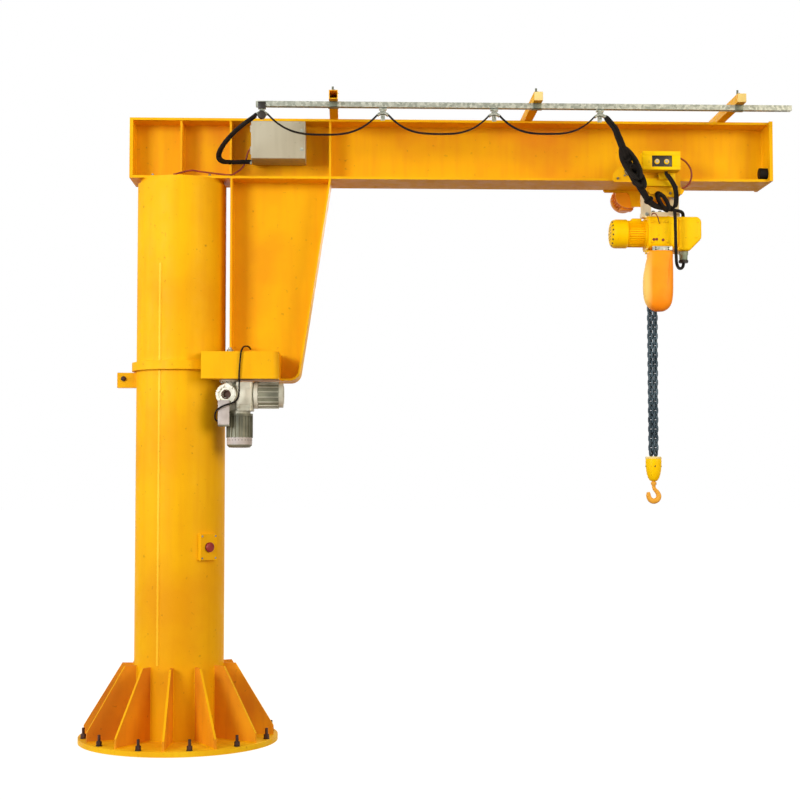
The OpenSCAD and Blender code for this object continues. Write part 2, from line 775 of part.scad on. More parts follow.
slew_route = [
    [415, -7, 2330], [412, -60, 2336], [404, -160, 2334], [395, -270, 2322],
    [388, -330, 2305], [382, -347, 2280], [376, -347, 2220], [372, -346, 2150],
    [372, -344, 2100], [372, -344, 2050], [360, -343, 2008], [325, -341, 1986],
    [285, -339, 1974], [244, -330, 1948], [230, -304, 1918], [231, -278, 1896],
    [238, -264, 1887], [terminal_x - 0.4, -262, 1886]
];

earth_route = [
    [cabinet_x - 0.4, -150, 3517], [415, -150, 3516], [402, -150, 3490], [392, -149, 3450], [372, -147, 3405],
    [335, -146, 3376], [300, -146, jib_z0 + flange_t + 5], [220, -146, jib_z0 + flange_t + 3.4],
    [120, -146, jib_z0 + flange_t + 3.4], [60, -146, jib_z0 + flange_t + 3.4],
    [-40, -146, jib_z0 + flange_t + 3.4]
];

module supply_cable() {
    color(dark) cord(supply_route, 16, 3);
}

module jib_wires() {
    color(dark) cord(slew_route, 8, 3);
    color(red) cord(earth_route, 6, 3);
}

// ---------------------------------------------------------------- trolley

module trolley_plates() {
    cut = 44;
    z0 = jib_z0 - 100;
    z1 = wheel_z + 26;
    color(yellow) for (side = [0, 1]) mirror([0, side, 0]) difference() {
        plate_xz(side_plate_y, side_plate_t) polygon([
            [trolley_x0 + 178, z0], [trolley_x1 - 10, z0], [trolley_x1, z0 + 10],
            [trolley_x1, z1 - cut], [trolley_x1 - cut, z1], [trolley_x0 + cut, z1],
            [trolley_x0, z1 - cut], [trolley_x0, jib_z0 - 2], [trolley_x0 + 10, jib_z0 - 12],
            [trolley_x0 + 150, jib_z0 - 12], [trolley_x0 + 166, jib_z0 - 28]
        ]);
        for (x = tie_bar_x) {
            bar_y(x, side_plate_y - over, tie_bar_z, tie_bar_d, side_plate_t + 2 * over);
        }
        for (x = wheel_x) bar_y(x, side_plate_y - over, wheel_z, 24, side_plate_t + 2 * over);
    }
}

module trolley_wheels() {
    tread_w = 32;
    lip_w = 6;
    edge = flange_w / 2;
    color(steel) for (x = wheel_x, side = [0, 1]) mirror([0, side, 0]) {
        bar_y(x, edge - tread_w, wheel_z, wheel_d, tread_w + 1);
        bar_y(x, edge + 1, wheel_z, wheel_d + 14, lip_w);
        bar_y(x, edge, wheel_z, 24, side_plate_gap + side_plate_t);
    }
}

module trolley_bars() {
    end = side_plate_y + side_plate_t;
    color(steel) for (x = tie_bar_x) {
        bar_y(x, -end, tie_bar_z, tie_bar_d, 2 * end);
        bar_y(x, -end - 16, tie_bar_z, tie_bar_d + 16, 16, $fn = 6);
    }
    color(steel) bar_y(tie_bar_x[1], end, tie_bar_z, tie_bar_d + 16, 16, $fn = 6);
}

module travel_motor() {
    x = trolley_x0 + 160;
    y = side_plate_y + side_plate_t;
    z = jib_z0 - 24;
    color(orange) {
        bar_y(x, y, z, travel_motor_d, travel_motor_l - 70);
        bar_y(x, y + travel_motor_l - 70 - over, z, travel_motor_d - 10, 70);
    }
}

module control_box() {
    x0 = trolley_x0 + 159;
    x1 = x0 + 224;
    y1 = -side_plate_y - side_plate_t;
    y0 = y1 - 113;
    z0 = wheel_z - 14;
    z1 = z0 + 109;
    color(bright_yellow) difference() {
        box([x0, y0, z0], [x1, y1, z1]);
        box([x0 + 55, y0 - over, z0 + 18], [x0 + 175, y0 + 8, z0 + 84]);
    }
    color(steel) for (x = [x0 + 85, x0 + 142]) bar_y(x, y0 - 4, z0 + 48, 30, 12 + over);
}

module hoist_hanger() {
    z0 = housing_z1;
    z1 = tie_bar_z + tie_bar_d / 2 + 16;
    lug_w = 64;
    shoe_h = 34;
    span = [tie_bar_x[0] - lug_w / 2, tie_bar_x[1] + lug_w / 2];
    color(steel) difference() {
        union() {
            plate_xz(-30, 60) round_rect([span[0], z0], [span[1], z0 + shoe_h], 10);
            for (x = tie_bar_x, y = [-30, 12]) plate_xz(y, 18) hull() {
                translate([x - lug_w / 2 + 6, z0 + 8]) square([lug_w - 12, shoe_h - 16]);
                translate([x, z1 - lug_w / 2 + 4]) circle(d = lug_w - 8);
            }
        }
        for (x = tie_bar_x) bar_y(x, -30 - over, tie_bar_z, tie_bar_d, 60 + 2 * over);
    }
}

// ---------------------------------------------------------------- hoist

module hoist_motor() {
    x0 = housing_x0 - hoist_motor_l;
    r = fan_cover_d / 2;
    round_r = 32;
    fins = 18;
    color(bright_yellow) translate([x0, 0, hoist_z]) rotate([0, 90, 0]) {
        rotate_extrude() {
            square([r - round_r, fan_cover_l]);
            translate([0, round_r]) square([r, fan_cover_l - round_r]);
            translate([r - round_r, round_r]) circle(r = round_r);
        }
        translate([0, 0, fan_cover_l - over])
            cylinder(d = hoist_motor_d - 12, h = hoist_motor_l - fan_cover_l + over);
        for (i = [0:fins - 1]) rotate(360 * (i + 0.5) / fins)
            translate([0, -2, fan_cover_l - over])
                cube([hoist_motor_d / 2, 4, hoist_motor_l - fan_cover_l + over - 14]);
        translate([0, 0, hoist_motor_l - 14]) cylinder(d = hoist_motor_d + 6, h = 14);
    }
}

module hoist_housing() {
    half = housing_w / 2;
    color(bright_yellow) {
        translate([housing_x0, 0, hoist_z]) rotate([90, 0, 90]) linear_extrude(housing_l)
            round_rect([-half, -half], [half, half], 34);
        box([chain_x - 36, -32, housing_z0 - chain_guide_h], [chain_x + 62, 36, housing_z0 + over]);
    }
}

module hoist_cover() {
    x0 = housing_x0 + housing_l;
    x1 = x0 + cover_l;
    z1 = hoist_z + 96;
    z0 = hoist_z - 112;
    color(bright_yellow) {
        plate_xz(-86, 172) polygon([
            [x0, z0], [x0 + 76, z0], [x1, z0 + 74], [x1, z1 - 18], [x1 - 16, z1], [x0, z1]
        ]);
        translate([x0 + gland_x, gland_y, z0 - gland_l]) cylinder(d = 48, h = gland_l + over);
        translate([x0 + gland_x, gland_y, z0 - 22]) cylinder(d = 60, h = 22, $fn = 6);
    }
}

module chain_bag() {
    z1 = housing_z0 - chain_guide_h;
    x0 = chain_x - 66;
    y1 = -block_d / 2 - bag_gap;
    color(orange) {
        plate_xz(y1 - bag_d, bag_d) round_rect([x0, z1 - bag_h], [x0 + bag_w, z1], 58);
        box([x0 + 64, -housing_w / 2 + 34, z1 - over], [x0 + bag_w - 30, y1, housing_z0]);
    }
}

// One link of the load chain, upright, centred on the origin, wide along X.
module chain_link(inside_l) {
    turn_r = (link_inside_w + chain_d) / 2;
    straight = inside_l - link_inside_w;
    for (side = [-1, 1]) {
        translate([side * turn_r, 0, -straight / 2]) cylinder(d = chain_d, h = straight, $fn = 16);
        rotate([90, 0, 0]) translate([0, side * straight / 2, 0]) rotate(side > 0 ? 0 : 180)
            rotate_extrude(angle = 180, $fn = 24) translate([turn_r, 0]) circle(d = chain_d, $fn = 16);
    }
}

module load_chain() {
    z0 = block_top + seat_gap;
    span = chain_z1 - z0;
    steps = round((span - link_pitch - 2 * chain_d) / link_pitch);
    step = (span - link_pitch - 2 * chain_d) / steps;
    color(dark) for (side = [-1, 1], i = [0:steps]) {
        translate([chain_x + side * fall_pitch / 2, 0, z0 + link_pitch / 2 + chain_d + i * step])
            rotate(i % 2 == 0 ? 45 : -45) chain_link(step + 0.2);
    }
}

drop_route = concat([for (s = cord_start) drop_right + s * [wrap_tangent[0], 0, -wrap_tangent[2]]], [
    [2540, -540, 3572], [2565, -505, 3530],
    [2600, -455, 3470], [2635, -400, 3410], [2675, -345, 3350], [2720, -295, 3295],
    [2765, -250, 3245], [2805, -210, 3205], [2850, -170, 3184], [2900, -140, 3176],
    [2950, -120, 3172], [2995, -90, 3172], [3030, -60, 3168], [3040, -50, 3154], [3040, -50, 3140]
]);

tail_route = [
    [2990, -145, 3172], [2992, -146, 3140], [2994, -145, 3060], [2996, -142, 2980],
    [2998, -138, 2900], [3000, -125, 2856], [3008, -97, 2828], [3024, -60, 2816],
    [3040, -34, 2830], [3045, -28, 2848], [3045, -28, hoist_z - 112 - gland_l - 0.4]
];

module hoist_cables() {
    color(dark) cord(drop_route, 26, 3);
    color(dark) cord(tail_route, 12, 3);
}

// ---------------------------------------------------------------- hook

module hook_block() {
    r = block_d / 2;
    color(bright_yellow) difference() {
        translate([chain_x, 0, block_top - block_h]) rotate_extrude($fn = 64) polygon([
            [0, 0], [20, 0], [25, 8], [r - 15, 40], [r - 5, 78], [r, 112],
            [r, block_h - 14], [r - 8, block_h], [0, block_h]
        ]);
        translate([chain_x, 0, block_top - block_h - over])
            cylinder(d = hook_bar_d + 2 * hook_fit, h = 45 + over);
    }
}

module hook() {
    z0 = block_top - block_h;
    color(bright_yellow) translate([chain_x, 0, 0]) {
        translate([0, 0, hook_z + bowl_r]) cylinder(d = hook_bar_d, h = z0 + 44 - hook_z - bowl_r);
        translate([0, 0, z0 - 24]) cylinder(d = 34, h = 18);
        translate([0, 0, hook_z + bowl_r]) sphere(d = hook_bar_d + 6);
        translate([0, 0, hook_z]) rotate([90, 0, 0]) rotate(-172)
            rotate_extrude(angle = 262) translate([bowl_r, 0]) circle(d = hook_bar_d);
        translate([0, 0, hook_z]) rotate([90, 0, 0]) rotate(-172)
            translate([bowl_r, 0, 0]) sphere(d = hook_bar_d + 2);
    }
}

// ---------------------------------------------------------------- nodes

base_plate();
base_gussets();
column_tube();
head_plate();
guide_ring();
stop_ear();
stop_station();
stop_button();
jib_flanges();
jib_web();
jib_end_plates();
jib_stiffeners();
slew_bearing();
haunch_web();
haunch_flanges();
yoke_plates();
yoke_cheeks();
ring_rollers();
slew_gearbox();
slew_motor();
cabinet();
end_buffers();
festoon_arms();
festoon_rail();
festoon_clamp();
supply_cable();
festoon_loop(saddle_x[0], saddle_x[1]);  // festoon_loop_1
jib_wires();
carriage(saddle_x[1]);  // festoon_carriage_1
festoon_loop(saddle_x[1], saddle_x[2]);  // festoon_loop_2
carriage(saddle_x[2]);  // festoon_carriage_2
festoon_loop(saddle_x[2], saddle_x[3]);  // festoon_loop_3
carriage(saddle_x[3]);  // festoon_carriage_3
trolley_plates();
trolley_wheels();
trolley_bars();
travel_motor();
control_box();
hoist_hanger();
hoist_motor();
hoist_housing();
hoist_cover();
chain_bag();
load_chain();
hoist_cables();
hook_block();
hook();
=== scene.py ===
# %% [markdown]
# # A pillar jib crane
# The crane stands on a round base plate. A thick column carries an H-section jib that slews on a bearing, and a
# motor drives a roller along a ring on the column to turn it. The jib lies along +X and the festoon on the -Y side.
# The frame gives the engineering solids, and this file dresses them. Pieces are drawn in millimetres and scaled
# to metres as they are finished.

# %% Load the frame
import json
from math import copysign, cos, pi, radians, sin, sqrt, tan, tau
import bmesh
import bpy
from mathutils import Matrix, Vector, noise


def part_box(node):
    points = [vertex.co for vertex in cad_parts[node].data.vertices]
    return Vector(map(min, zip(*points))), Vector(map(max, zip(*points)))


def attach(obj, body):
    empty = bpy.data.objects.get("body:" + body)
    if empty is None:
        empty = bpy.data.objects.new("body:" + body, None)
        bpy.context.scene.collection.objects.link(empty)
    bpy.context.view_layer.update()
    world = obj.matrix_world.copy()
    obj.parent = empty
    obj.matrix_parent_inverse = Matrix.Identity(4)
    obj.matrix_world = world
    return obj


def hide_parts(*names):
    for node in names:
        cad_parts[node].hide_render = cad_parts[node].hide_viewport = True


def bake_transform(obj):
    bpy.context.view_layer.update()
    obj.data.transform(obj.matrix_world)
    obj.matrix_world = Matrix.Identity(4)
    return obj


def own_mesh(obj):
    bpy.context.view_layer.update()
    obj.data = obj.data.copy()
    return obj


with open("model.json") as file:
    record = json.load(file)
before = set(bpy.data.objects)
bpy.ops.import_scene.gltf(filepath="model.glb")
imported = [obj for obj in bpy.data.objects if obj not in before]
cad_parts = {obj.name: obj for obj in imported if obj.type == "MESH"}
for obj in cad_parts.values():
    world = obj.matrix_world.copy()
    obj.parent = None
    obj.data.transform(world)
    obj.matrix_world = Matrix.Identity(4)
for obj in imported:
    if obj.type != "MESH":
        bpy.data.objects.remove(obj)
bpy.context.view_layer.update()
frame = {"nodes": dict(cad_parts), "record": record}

scene = bpy.context.scene
MM = 0.001
place = {node: [Vector(corner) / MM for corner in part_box(node)] for node in frame["nodes"]}

# %% [markdown]
# ## The camera
# A long lens at eye height looks slightly up at the crane, so the base shows only as a thin ellipse and the jib
# climbs gently to the left. The turn is small, because the camera faces the jib almost squarely.

# %% Camera
camera = bpy.data.objects.new("camera", bpy.data.cameras.new("camera"))
scene.collection.objects.link(camera)
camera.location = (0.994, -9.183, 1.567)
camera.rotation_euler = (radians(92.85), 0, radians(-2.02))
camera.data.lens = 68.5
camera.data.sensor_width = 36
camera.data.clip_end = 200
scene.camera = camera
scene.view_settings.view_transform = "Standard"
print("camera", camera.data.lens, "mm")

# %% [markdown]
# ## Colours and finishes
# Paint on a crane is thick and slightly uneven. Each finish below is a small node tree on Object coordinates: a
# slow noise moves the colour, a quick one roughens the gloss, and a fine bump gives the orange-peel skin of
# sprayed enamel. Numbers that are the same all over a surface sit on the shader's own sockets.

# %% Node tools
LOOKS = {}


def srgb(*tone):
    """The linear values that shaders use, from a colour chart's 0 to 255."""
    shares = [value / 255 for value in tone]
    return (*(share / 12.92 if share <= 0.04045 else ((share + 0.055) / 1.055) ** 2.4 for share in shares), 1)


class Nodes:
    """A node tree under construction, with short ways to add the usual nodes."""

    def __init__(self, owner, shader):
        owner.use_nodes = True
        self.tree = owner.node_tree
        self.shader = self.tree.nodes[shader]

    def feed(self, node, inputs):
        """Gives each input a number, a colour or another node's output."""
        for key, value in inputs.items():
            if isinstance(value, bpy.types.NodeSocket):
                self.tree.links.new(value, node.inputs[key])
            else:
                node.inputs[key].default_value = value

    def shade(self, **inputs):
        self.feed(self.shader, {name.replace("_", " "): value for name, value in inputs.items()})

    def add(self, kind, output, inputs, **settings):
        node = self.tree.nodes.new("ShaderNode" + kind)
        for name, value in settings.items():
            setattr(node, name, value)
        self.feed(node, inputs)
        return node.outputs[output]

    def mix(self, factor, first, second):
        return self.add("Mix", 2, {0: factor, 6: first, 7: second}, data_type="RGBA")

    def between(self, factor, low, high, from_low=0.3, from_high=0.7):
        """Moves a factor from its own range to low and high."""
        return self.add("MapRange", "Result", {
            "Value": factor, "From Min": from_low, "From Max": from_high, "To Min": low, "To Max": high})

    def direct(self, *kinds):
        """One where the camera or a ray of these kinds looks, and zero elsewhere."""
        seen = self.add("LightPath", "Is Camera Ray", {})
        path = seen.node
        for kind in kinds:
            seen = self.add("Math", 0, {0: seen, 1: path.outputs[f"Is {kind} Ray"]}, operation="MAXIMUM")
        return seen


class Finish(Nodes):
    """One surface material, kept in LOOKS under its name."""

    def __init__(self, name):
        LOOKS[name] = bpy.data.materials.new(name)
        super().__init__(LOOKS[name], "Principled BSDF")
        self.coords = self.add("TexCoord", "Object", {})
        print("finish", name)

    def noise(self, scale, detail=3, stretch=None):
        coords = self.add("Mapping", "Vector", {"Vector": self.coords, "Scale": stretch}) if stretch else self.coords
        return self.add("TexNoise", "Fac", {"Scale": scale, "Detail": detail, "Vector": coords})

    def ramp(self, factor, *stops):
        """A colour for each stretch of the factor. The stops are (position, (red, green, blue))."""
        colour = self.add("ValToRGB", "Color", {"Fac": factor})
        band = colour.node.color_ramp
        while len(band.elements) < len(stops):
            band.elements.new(0.5)
        for element, (position, tone) in zip(band.elements, stops):
            element.position = position
            element.color = srgb(*tone)
        return colour

    def bump(self, height, strength):
        return self.add("Bump", "Normal", {"Strength": strength, "Distance": MM, "Height": height})


print("node tools ready")

# %% [markdown]
# ### Enamel
# The steelwork's enamel shows three things: broad clouds where the coat is thicker, faint vertical runs, and a
# few grimy specks. The same recipe with other colours also paints the hoist, the travel motor and the cabinet.

# %% Enamel recipe
def enamel(name, thin, body, thick, gloss=(0.42, 0.6), grime=(120, 74, 20), peel=0.25):
    paint = Finish(name)
    colour = paint.ramp(paint.noise(1.6, 4), (0.32, thick), (0.5, body), (0.68, thin))
    runs = paint.noise(5.0, 2, (5.0, 5.0, 0.5))
    colour = paint.mix(paint.between(runs, 0, 0.35, 0.45, 0.75), colour, srgb(*thick))
    specks = paint.noise(34, 5)
    colour = paint.mix(paint.between(specks, 0, 0.5, 0.66, 0.78), colour, srgb(*grime))
    paint.shade(Base_Color=colour, Roughness=paint.between(paint.noise(22), *gloss),
                Normal=paint.bump(paint.noise(150, 2), peel), Specular_IOR_Level=0.1)


enamel("crane_yellow", (246, 190, 10), (240, 180, 8), (230, 160, 12))
enamel("hoist_yellow", (255, 214, 4), (255, 207, 2), (250, 188, 4), (0.36, 0.5), peel=0.1)
enamel("jib_yellow", (246, 188, 10), (238, 174, 12), (228, 144, 26))
# Darker and paler copies of the enamel for the foot: the gussets' one is painted shade, the base plate's one painted
# light on its top.
enamel("foot_painted_shade", (244, 170, 28), (228, 150, 30), (204, 120, 30), (0.45, 0.62))
enamel("plate_painted_light", (255, 214, 40), (250, 198, 26), (238, 172, 22))
# A paler copy of the enamel for the column's seam bead: a painted highlight along it.
enamel("seam_painted_highlight", (252, 212, 66), (250, 204, 54), (246, 190, 38), peel=0.1)
enamel("hook_amber", (246, 190, 84), (232, 166, 52), (206, 130, 30), (0.36, 0.5), peel=0.1)
enamel("hanger_cream", (250, 244, 216), (242, 234, 200), (226, 210, 164), (0.35, 0.5), peel=0.1)
enamel("rim_cream", (244, 226, 160), (236, 214, 140), (222, 194, 110), (0.3, 0.45))
enamel("travel_orange", (255, 176, 36), (250, 158, 28), (236, 134, 26), (0.34, 0.48))
enamel("cabinet_grey", (188, 184, 164), (178, 173, 152), (164, 158, 136), (0.35, 0.5), (120, 112, 92), 0.15)

# %% [markdown]
# ### Metals
# Bare steel, zinc, cast alloy and the blackened chain differ in colour and in how their gloss breaks up. Zinc has
# a soft spangle, for which Voronoi cells are the usual trick. Cast alloy is grainy, so its bump is strong.

# %% Metal recipes
def metal(name, dark, light, rough=(0.45, 0.6), metallic=0.3, grain=60, bump=0.2):
    steel = Finish(name)
    steel.shade(Base_Color=steel.ramp(steel.noise(9, 5), (0.35, dark), (0.65, light)), Metallic=metallic,
                Roughness=steel.between(steel.noise(40), *rough), Normal=steel.bump(steel.noise(grain, 4), bump))


metal("bare_steel", (120, 118, 108), (178, 176, 164), (0.35, 0.55), 0.85)
metal("dark_steel", (44, 24, 16), (80, 48, 34), (0.5, 0.7))
metal("chain_steel", (40, 58, 70), (76, 96, 108))
metal("cast_alloy", (168, 168, 152), (214, 214, 200), (0.4, 0.6), 0.35, 220, 0.5)
# A darker copy of the cast alloy: painted shade between the slewing motor's fins and over its solid.
metal("alloy_painted_shade", (92, 94, 80), (134, 136, 118))
metal("bracket_grey", (84, 92, 78), (126, 134, 118), (0.4, 0.6), 0.5)
metal("worn_steel", (96, 84, 58), (150, 136, 104), metallic=0.5)
metal("socket_grey", (120, 138, 118), (168, 180, 158), (0.3, 0.5))

zinc = Finish("zinc_coat")
cells = zinc.add("TexVoronoi", "Color", {"Scale": 70, "Vector": zinc.coords})
zinc.shade(Base_Color=zinc.ramp(cells, (0.2, (148, 156, 146)), (0.8, (196, 202, 192))), Metallic=0.6,
           Roughness=zinc.between(cells.node.outputs["Distance"], 0.35, 0.55, 0, 1),
           Normal=zinc.bump(zinc.noise(90), 0.1))

# %% [markdown]
# ### Rubber and plastics
# Cable sheaths and buffers are dull black with a dusty bloom, and the stop button is deep red. The chain bag is
# moulded orange plastic, with a painted highlight as a pale band along its left edge.

# %% Rubber and plastic recipes
def moulded(name, dark, light, rough=(0.45, 0.65), bump=0.12, specular=0.5):
    skin = Finish(name)
    skin.shade(Base_Color=skin.ramp(skin.noise(14, 4), (0.35, dark), (0.7, light)), Specular_IOR_Level=specular,
               Roughness=skin.between(skin.noise(30), *rough), Normal=skin.bump(skin.noise(320, 2), bump))


moulded("black_rubber", (10, 8, 6), (24, 19, 15), (0.6, 0.8), specular=0.2)
moulded("red_lead", (112, 34, 14), (156, 58, 22))
moulded("signal_red", (120, 10, 8), (152, 18, 14), (0.35, 0.45), 0.02)
moulded("black_plastic", (26, 24, 22), (44, 40, 36), (0.3, 0.45), 0.05)
moulded("pale_plastic", (172, 166, 164), (202, 196, 194), (0.35, 0.5), 0.05)

skin = Finish("bag_orange")
# A pale band along the bag's left side, a painted highlight, blends into the orange.
left_highlight = skin.between(skin.add("SeparateXYZ", "X", {"Vector": skin.coords}), 0, 1, 2.790, 2.826)
orange = skin.ramp(skin.noise(4, 4), (0.35, (250, 138, 4)), (0.7, (255, 162, 10)))
skin.shade(Base_Color=skin.mix(left_highlight, srgb(255, 214, 112), orange), Specular_IOR_Level=0.25,
           Roughness=skin.between(skin.noise(30), 0.45, 0.6))

# %% [markdown]
# ## The frame's own solids
# Where a solid already has its real shape it stays, and only takes its finish: a look of its own, the look of its
# material slot, or the look that has the slot's name. A piece that is modelled again below hides its solid there.

# %% Finish the solids
SLOT_LOOKS = {
    "yellow_paint": "crane_yellow", "hoist_paint": "hoist_yellow", "motor_orange": "travel_orange",
    "bag_plastic": "bag_orange", "galvanised": "zinc_coat", "cabinet_paint": "cabinet_grey",
    "red_plastic": "signal_red",
}
OWN_LOOKS = {
    # the gussets take the darker enamel as painted shade, the base plate the paler one as painted light
    "jib_web": "jib_yellow", "jib_stiffeners": "jib_yellow", "base_gussets": "foot_painted_shade",
    "base_plate": "plate_painted_light", "hoist_hanger": "hanger_cream", "trolley_bars": "crane_yellow",
    # the slewing motor's solid takes the darker alloy as painted shade
    "slew_motor": "alloy_painted_shade",
}
for row in frame["record"]["subparts"]:
    node, slot = row["node"], row["material_slot"]
    materials = frame["nodes"][node].data.materials
    materials.clear()
    materials.append(LOOKS[OWN_LOOKS.get(node) or SLOT_LOOKS.get(slot, slot)])
print("finished", len(frame["nodes"]), "solids")

# %% [markdown]
# ## Mesh tools
# Every detailed piece is drawn with the same few tools: a bevelled block, a round bar, a turned profile, a swept
# section, a bolt and a weld bead. Each adds to the mesh in hand. `finish_piece` turns that mesh into a piece that
# rides on its body, and takes up an empty one.

# %% Pieces
LEFT, RIGHT, FRONT, BACK, DOWN, UP = (-1, 0, 0), (1, 0, 0), (0, -1, 0), (0, 1, 0), (0, 0, -1), (0, 0, 1)
hand = bmesh.new()


def put_down(name, look, scale=MM):
    """Makes an object of the mesh in hand, and takes up an empty one."""
    global hand
    bmesh.ops.recalc_face_normals(hand, faces=hand.faces)
    data = bpy.data.meshes.new(name)
    hand.to_mesh(data)
    hand.free()
    hand = bmesh.new()
    data.transform(Matrix.Scale(scale, 4))
    data.materials.append(LOOKS[look])
    made = bpy.data.objects.new(name, data)
    scene.collection.objects.link(made)
    return made


def finish_piece(name, body, slot, *replaced, look=None, crease=35):
    """Makes a piece that rides on the body. Without a look of its own it has the look of its slot."""
    piece = put_down(name, look or SLOT_LOOKS.get(slot, slot))
    for polygon in piece.data.polygons:
        polygon.use_smooth = True
    piece.data.set_sharp_from_angle(angle=radians(crease))
    if body:
        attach(piece, body)
    if replaced:
        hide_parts(*replaced)
    return piece


print("piece tools ready")

# %% Blocks, bars and turned shapes
def facing(start, direction):
    """The placement that turns +Z to the direction and moves the origin to the start."""
    return Matrix.Translation(start) @ Vector(direction).to_track_quat("Z", "Y").to_matrix().to_4x4()


def spot(angle, reach, z=0):
    """A point at an angle in degrees round the column."""
    return Vector((reach * cos(radians(angle)), reach * sin(radians(angle)), z))


def circle(radius, sides=12, centre=(0, 0), lead=0.0):
    """Pairs at equal steps round a circle. A lead of 0.5 begins half a step on."""
    turns = [tau * (k + lead) / sides for k in range(sides)]
    return [(centre[0] + radius * cos(turn), centre[1] + radius * sin(turn)) for turn in turns]


def round_edges(corners, bevel, segments):
    if bevel:
        edges = list({edge for corner in corners for edge in corner.link_edges})
        bmesh.ops.bevel(hand, geom=edges, offset=bevel, affect="EDGES", segments=segments, profile=0.5, material=-1)


def block(low, high, bevel=0.0, segments=2):
    low, high = Vector(low), Vector(high)
    placement = Matrix.Translation((low + high) / 2) @ Matrix.Diagonal((*(high - low), 1))
    round_edges(bmesh.ops.create_cube(hand, size=1, matrix=placement)["verts"], bevel, segments)


def plate(outline, low, high, bevel=0.0, segments=2):
    """A plate whose outline is (x, z) points, from y low to y high."""
    corners = [hand.verts.new((x, low, z)) for x, z in outline]
    made = bmesh.ops.extrude_face_region(hand, geom=[hand.faces.new(corners)])["geom"]
    far = [item for item in made if isinstance(item, bmesh.types.BMVert)]
    bmesh.ops.translate(hand, verts=far, vec=(0, high - low, 0))
    round_edges(corners + far, bevel, segments)


def drum(start, end, radius, far_radius=None, sides=24):
    """A round bar, or a cone, from one point to another."""
    start, end = Vector(start), Vector(end)
    bmesh.ops.create_cone(
        hand, cap_ends=True, segments=sides, radius1=radius, radius2=far_radius or radius,
        depth=(end - start).length, matrix=facing((start + end) / 2, end - start))


def peg(foot, direction, length, radius, sides=12):
    """A round bar from its foot, so long in a direction."""
    drum(foot, Vector(foot) + Vector(direction) * length, radius, sides=sides)


def turned(profile, start, direction, sides=40):
    """Spins a profile of (radius, height) points about the axis through the start."""
    axis = facing(start, direction)
    line = [hand.verts.new(axis @ Vector((radius, 0, height))) for radius, height in profile]
    edges = [hand.edges.new(pair) for pair in zip(line, line[1:])]
    bmesh.ops.spin(hand, geom=line + edges, cent=start, axis=Vector(direction).normalized(), dvec=(0, 0, 0),
                   angle=tau, steps=sides, use_merge=True)
    bmesh.ops.remove_doubles(hand, verts=hand.verts, dist=0.001)


def head(foot, direction, radius, rim, top, height, sides=20):
    """A screw's head, straight up to its rim and then drawn in to its top."""
    turned([(0, 0), (radius, 0), (radius, rim), (top, height), (0, height)], foot, direction, sides)


def bolt(foot, direction, across, height, washer=0.0, stud=0.0):
    """A hexagon head on a washer, with the stud's end standing out of it."""
    foot, direction = Vector(foot), Vector(direction).normalized()
    if washer:
        peg(foot, direction, washer, across * 0.64, 28)
        foot = foot + direction * washer
    head(foot, direction, across * 0.577, height * 0.86, across * 0.5, height, 6)
    if stud:
        end = foot + direction * (height + stud)
        drum(foot + direction * (height - 1), end, across * 0.31, sides=16)
        drum(end - direction * 0.5, end + direction * 1.5, across * 0.31, across * 0.25, 16)


print("shapes ready")

# %% Skins and sweeps
def loft(rings, closed=False):
    """Skins one ring of corners after another. Both ends are capped, unless the last ring meets the first."""
    rings = [[hand.verts.new(corner) for corner in ring] for ring in rings]
    for first, second in zip(rings, rings[1:] + rings[:1] if closed else rings[1:]):
        for k in range(len(first)):
            hand.faces.new((first[k - 1], first[k], second[k], second[k - 1]))
    if not closed:
        hand.faces.new(rings[0][::-1])
        hand.faces.new(rings[-1])


def smooth_path(points, steps):
    """A smooth line through the points."""
    points = [Vector(point) for point in points]
    line = []
    for i in range(len(points) - 1):
        before, start, end = points[max(i - 1, 0)], points[i], points[i + 1]
        after = points[min(i + 2, len(points) - 1)]
        for k in range(steps):
            t = k / steps
            line.append(0.5 * (2 * start + (end - before) * t + (2 * before - 5 * start + 4 * end - after) * t * t
                               + (3 * start - before - 3 * end + after) * t ** 3))
    return line + [points[-1]]


def sweep(line, section, across=BACK, sizes=None, closed=False):
    """Carries a section of (across, up) points along a line. The section may change size on the way."""
    side = Vector(across) if across else (line[1] - line[0]).orthogonal().normalized()
    rings = []
    for i, point in enumerate(line):
        before = line[i - 1] if i or closed else point
        after = line[(i + 1) % len(line)] if i + 1 < len(line) or closed else point
        along = (after - before).normalized()
        side = (side - along * side.dot(along)).normalized()
        up = along.cross(side)
        size = sizes[i] if sizes else 1
        rings.append([point + size * (a * side + b * up) for a, b in section])
    loft(rings, closed)


print("tools ready")

# %% [markdown]
# ## Foot of the column
# Twelve studs with nuts hold the base plate, one between each pair of gussets. The gussets and the column stand in
# fillet welds, and a long seam runs up the rolled tube. The gussets' sides are painted a darker yellow as painted
# shade, strips of lighter yellow along their slopes are a painted highlight, the base plate's top is painted paler as
# painted light, and the seam bead is painted paler as a painted highlight. A weld is a thin bar whose size changes in
# steps, since real geometry keeps its scales in every light.

# %% Weld beads
def scales(count):
    """The sizes of a weld bead's rings, which swell and shrink in turn."""
    return [1 + 0.14 * (i % 2) for i in range(count)]


def bead(start, end, radius, ripple=10):
    start, end = Vector(start), Vector(end)
    count = max(4, round((end - start).length / ripple) * 2)
    sweep([start.lerp(end, i / count) for i in range(count + 1)], circle(radius, 6), None, scales(count + 1))


def ring_bead(z, reach, radius, ripple=12):
    """A weld bead right round the column."""
    count = round(tau * reach / ripple) * 2
    sweep([Vector((x, y, z)) for x, y in circle(reach, count)], circle(radius, 6), UP, scales(count), True)


print("weld beads ready")

# %% Foot and column
column_r, _, head_top = place["column_tube"][1]
base_r, _, base_top = place["base_plate"][1]
gusset_top = place["base_gussets"][1].z
GUSSETS = [30 * i - 2.5 for i in range(12)]
SEAM = -112
for angle in GUSSETS:
    bolt(spot(angle + 15, base_r - 32, base_top), UP, 28, 24, 4, 34)
finish_piece("anchor_bolts", "column", "bare_steel", look="dark_steel")

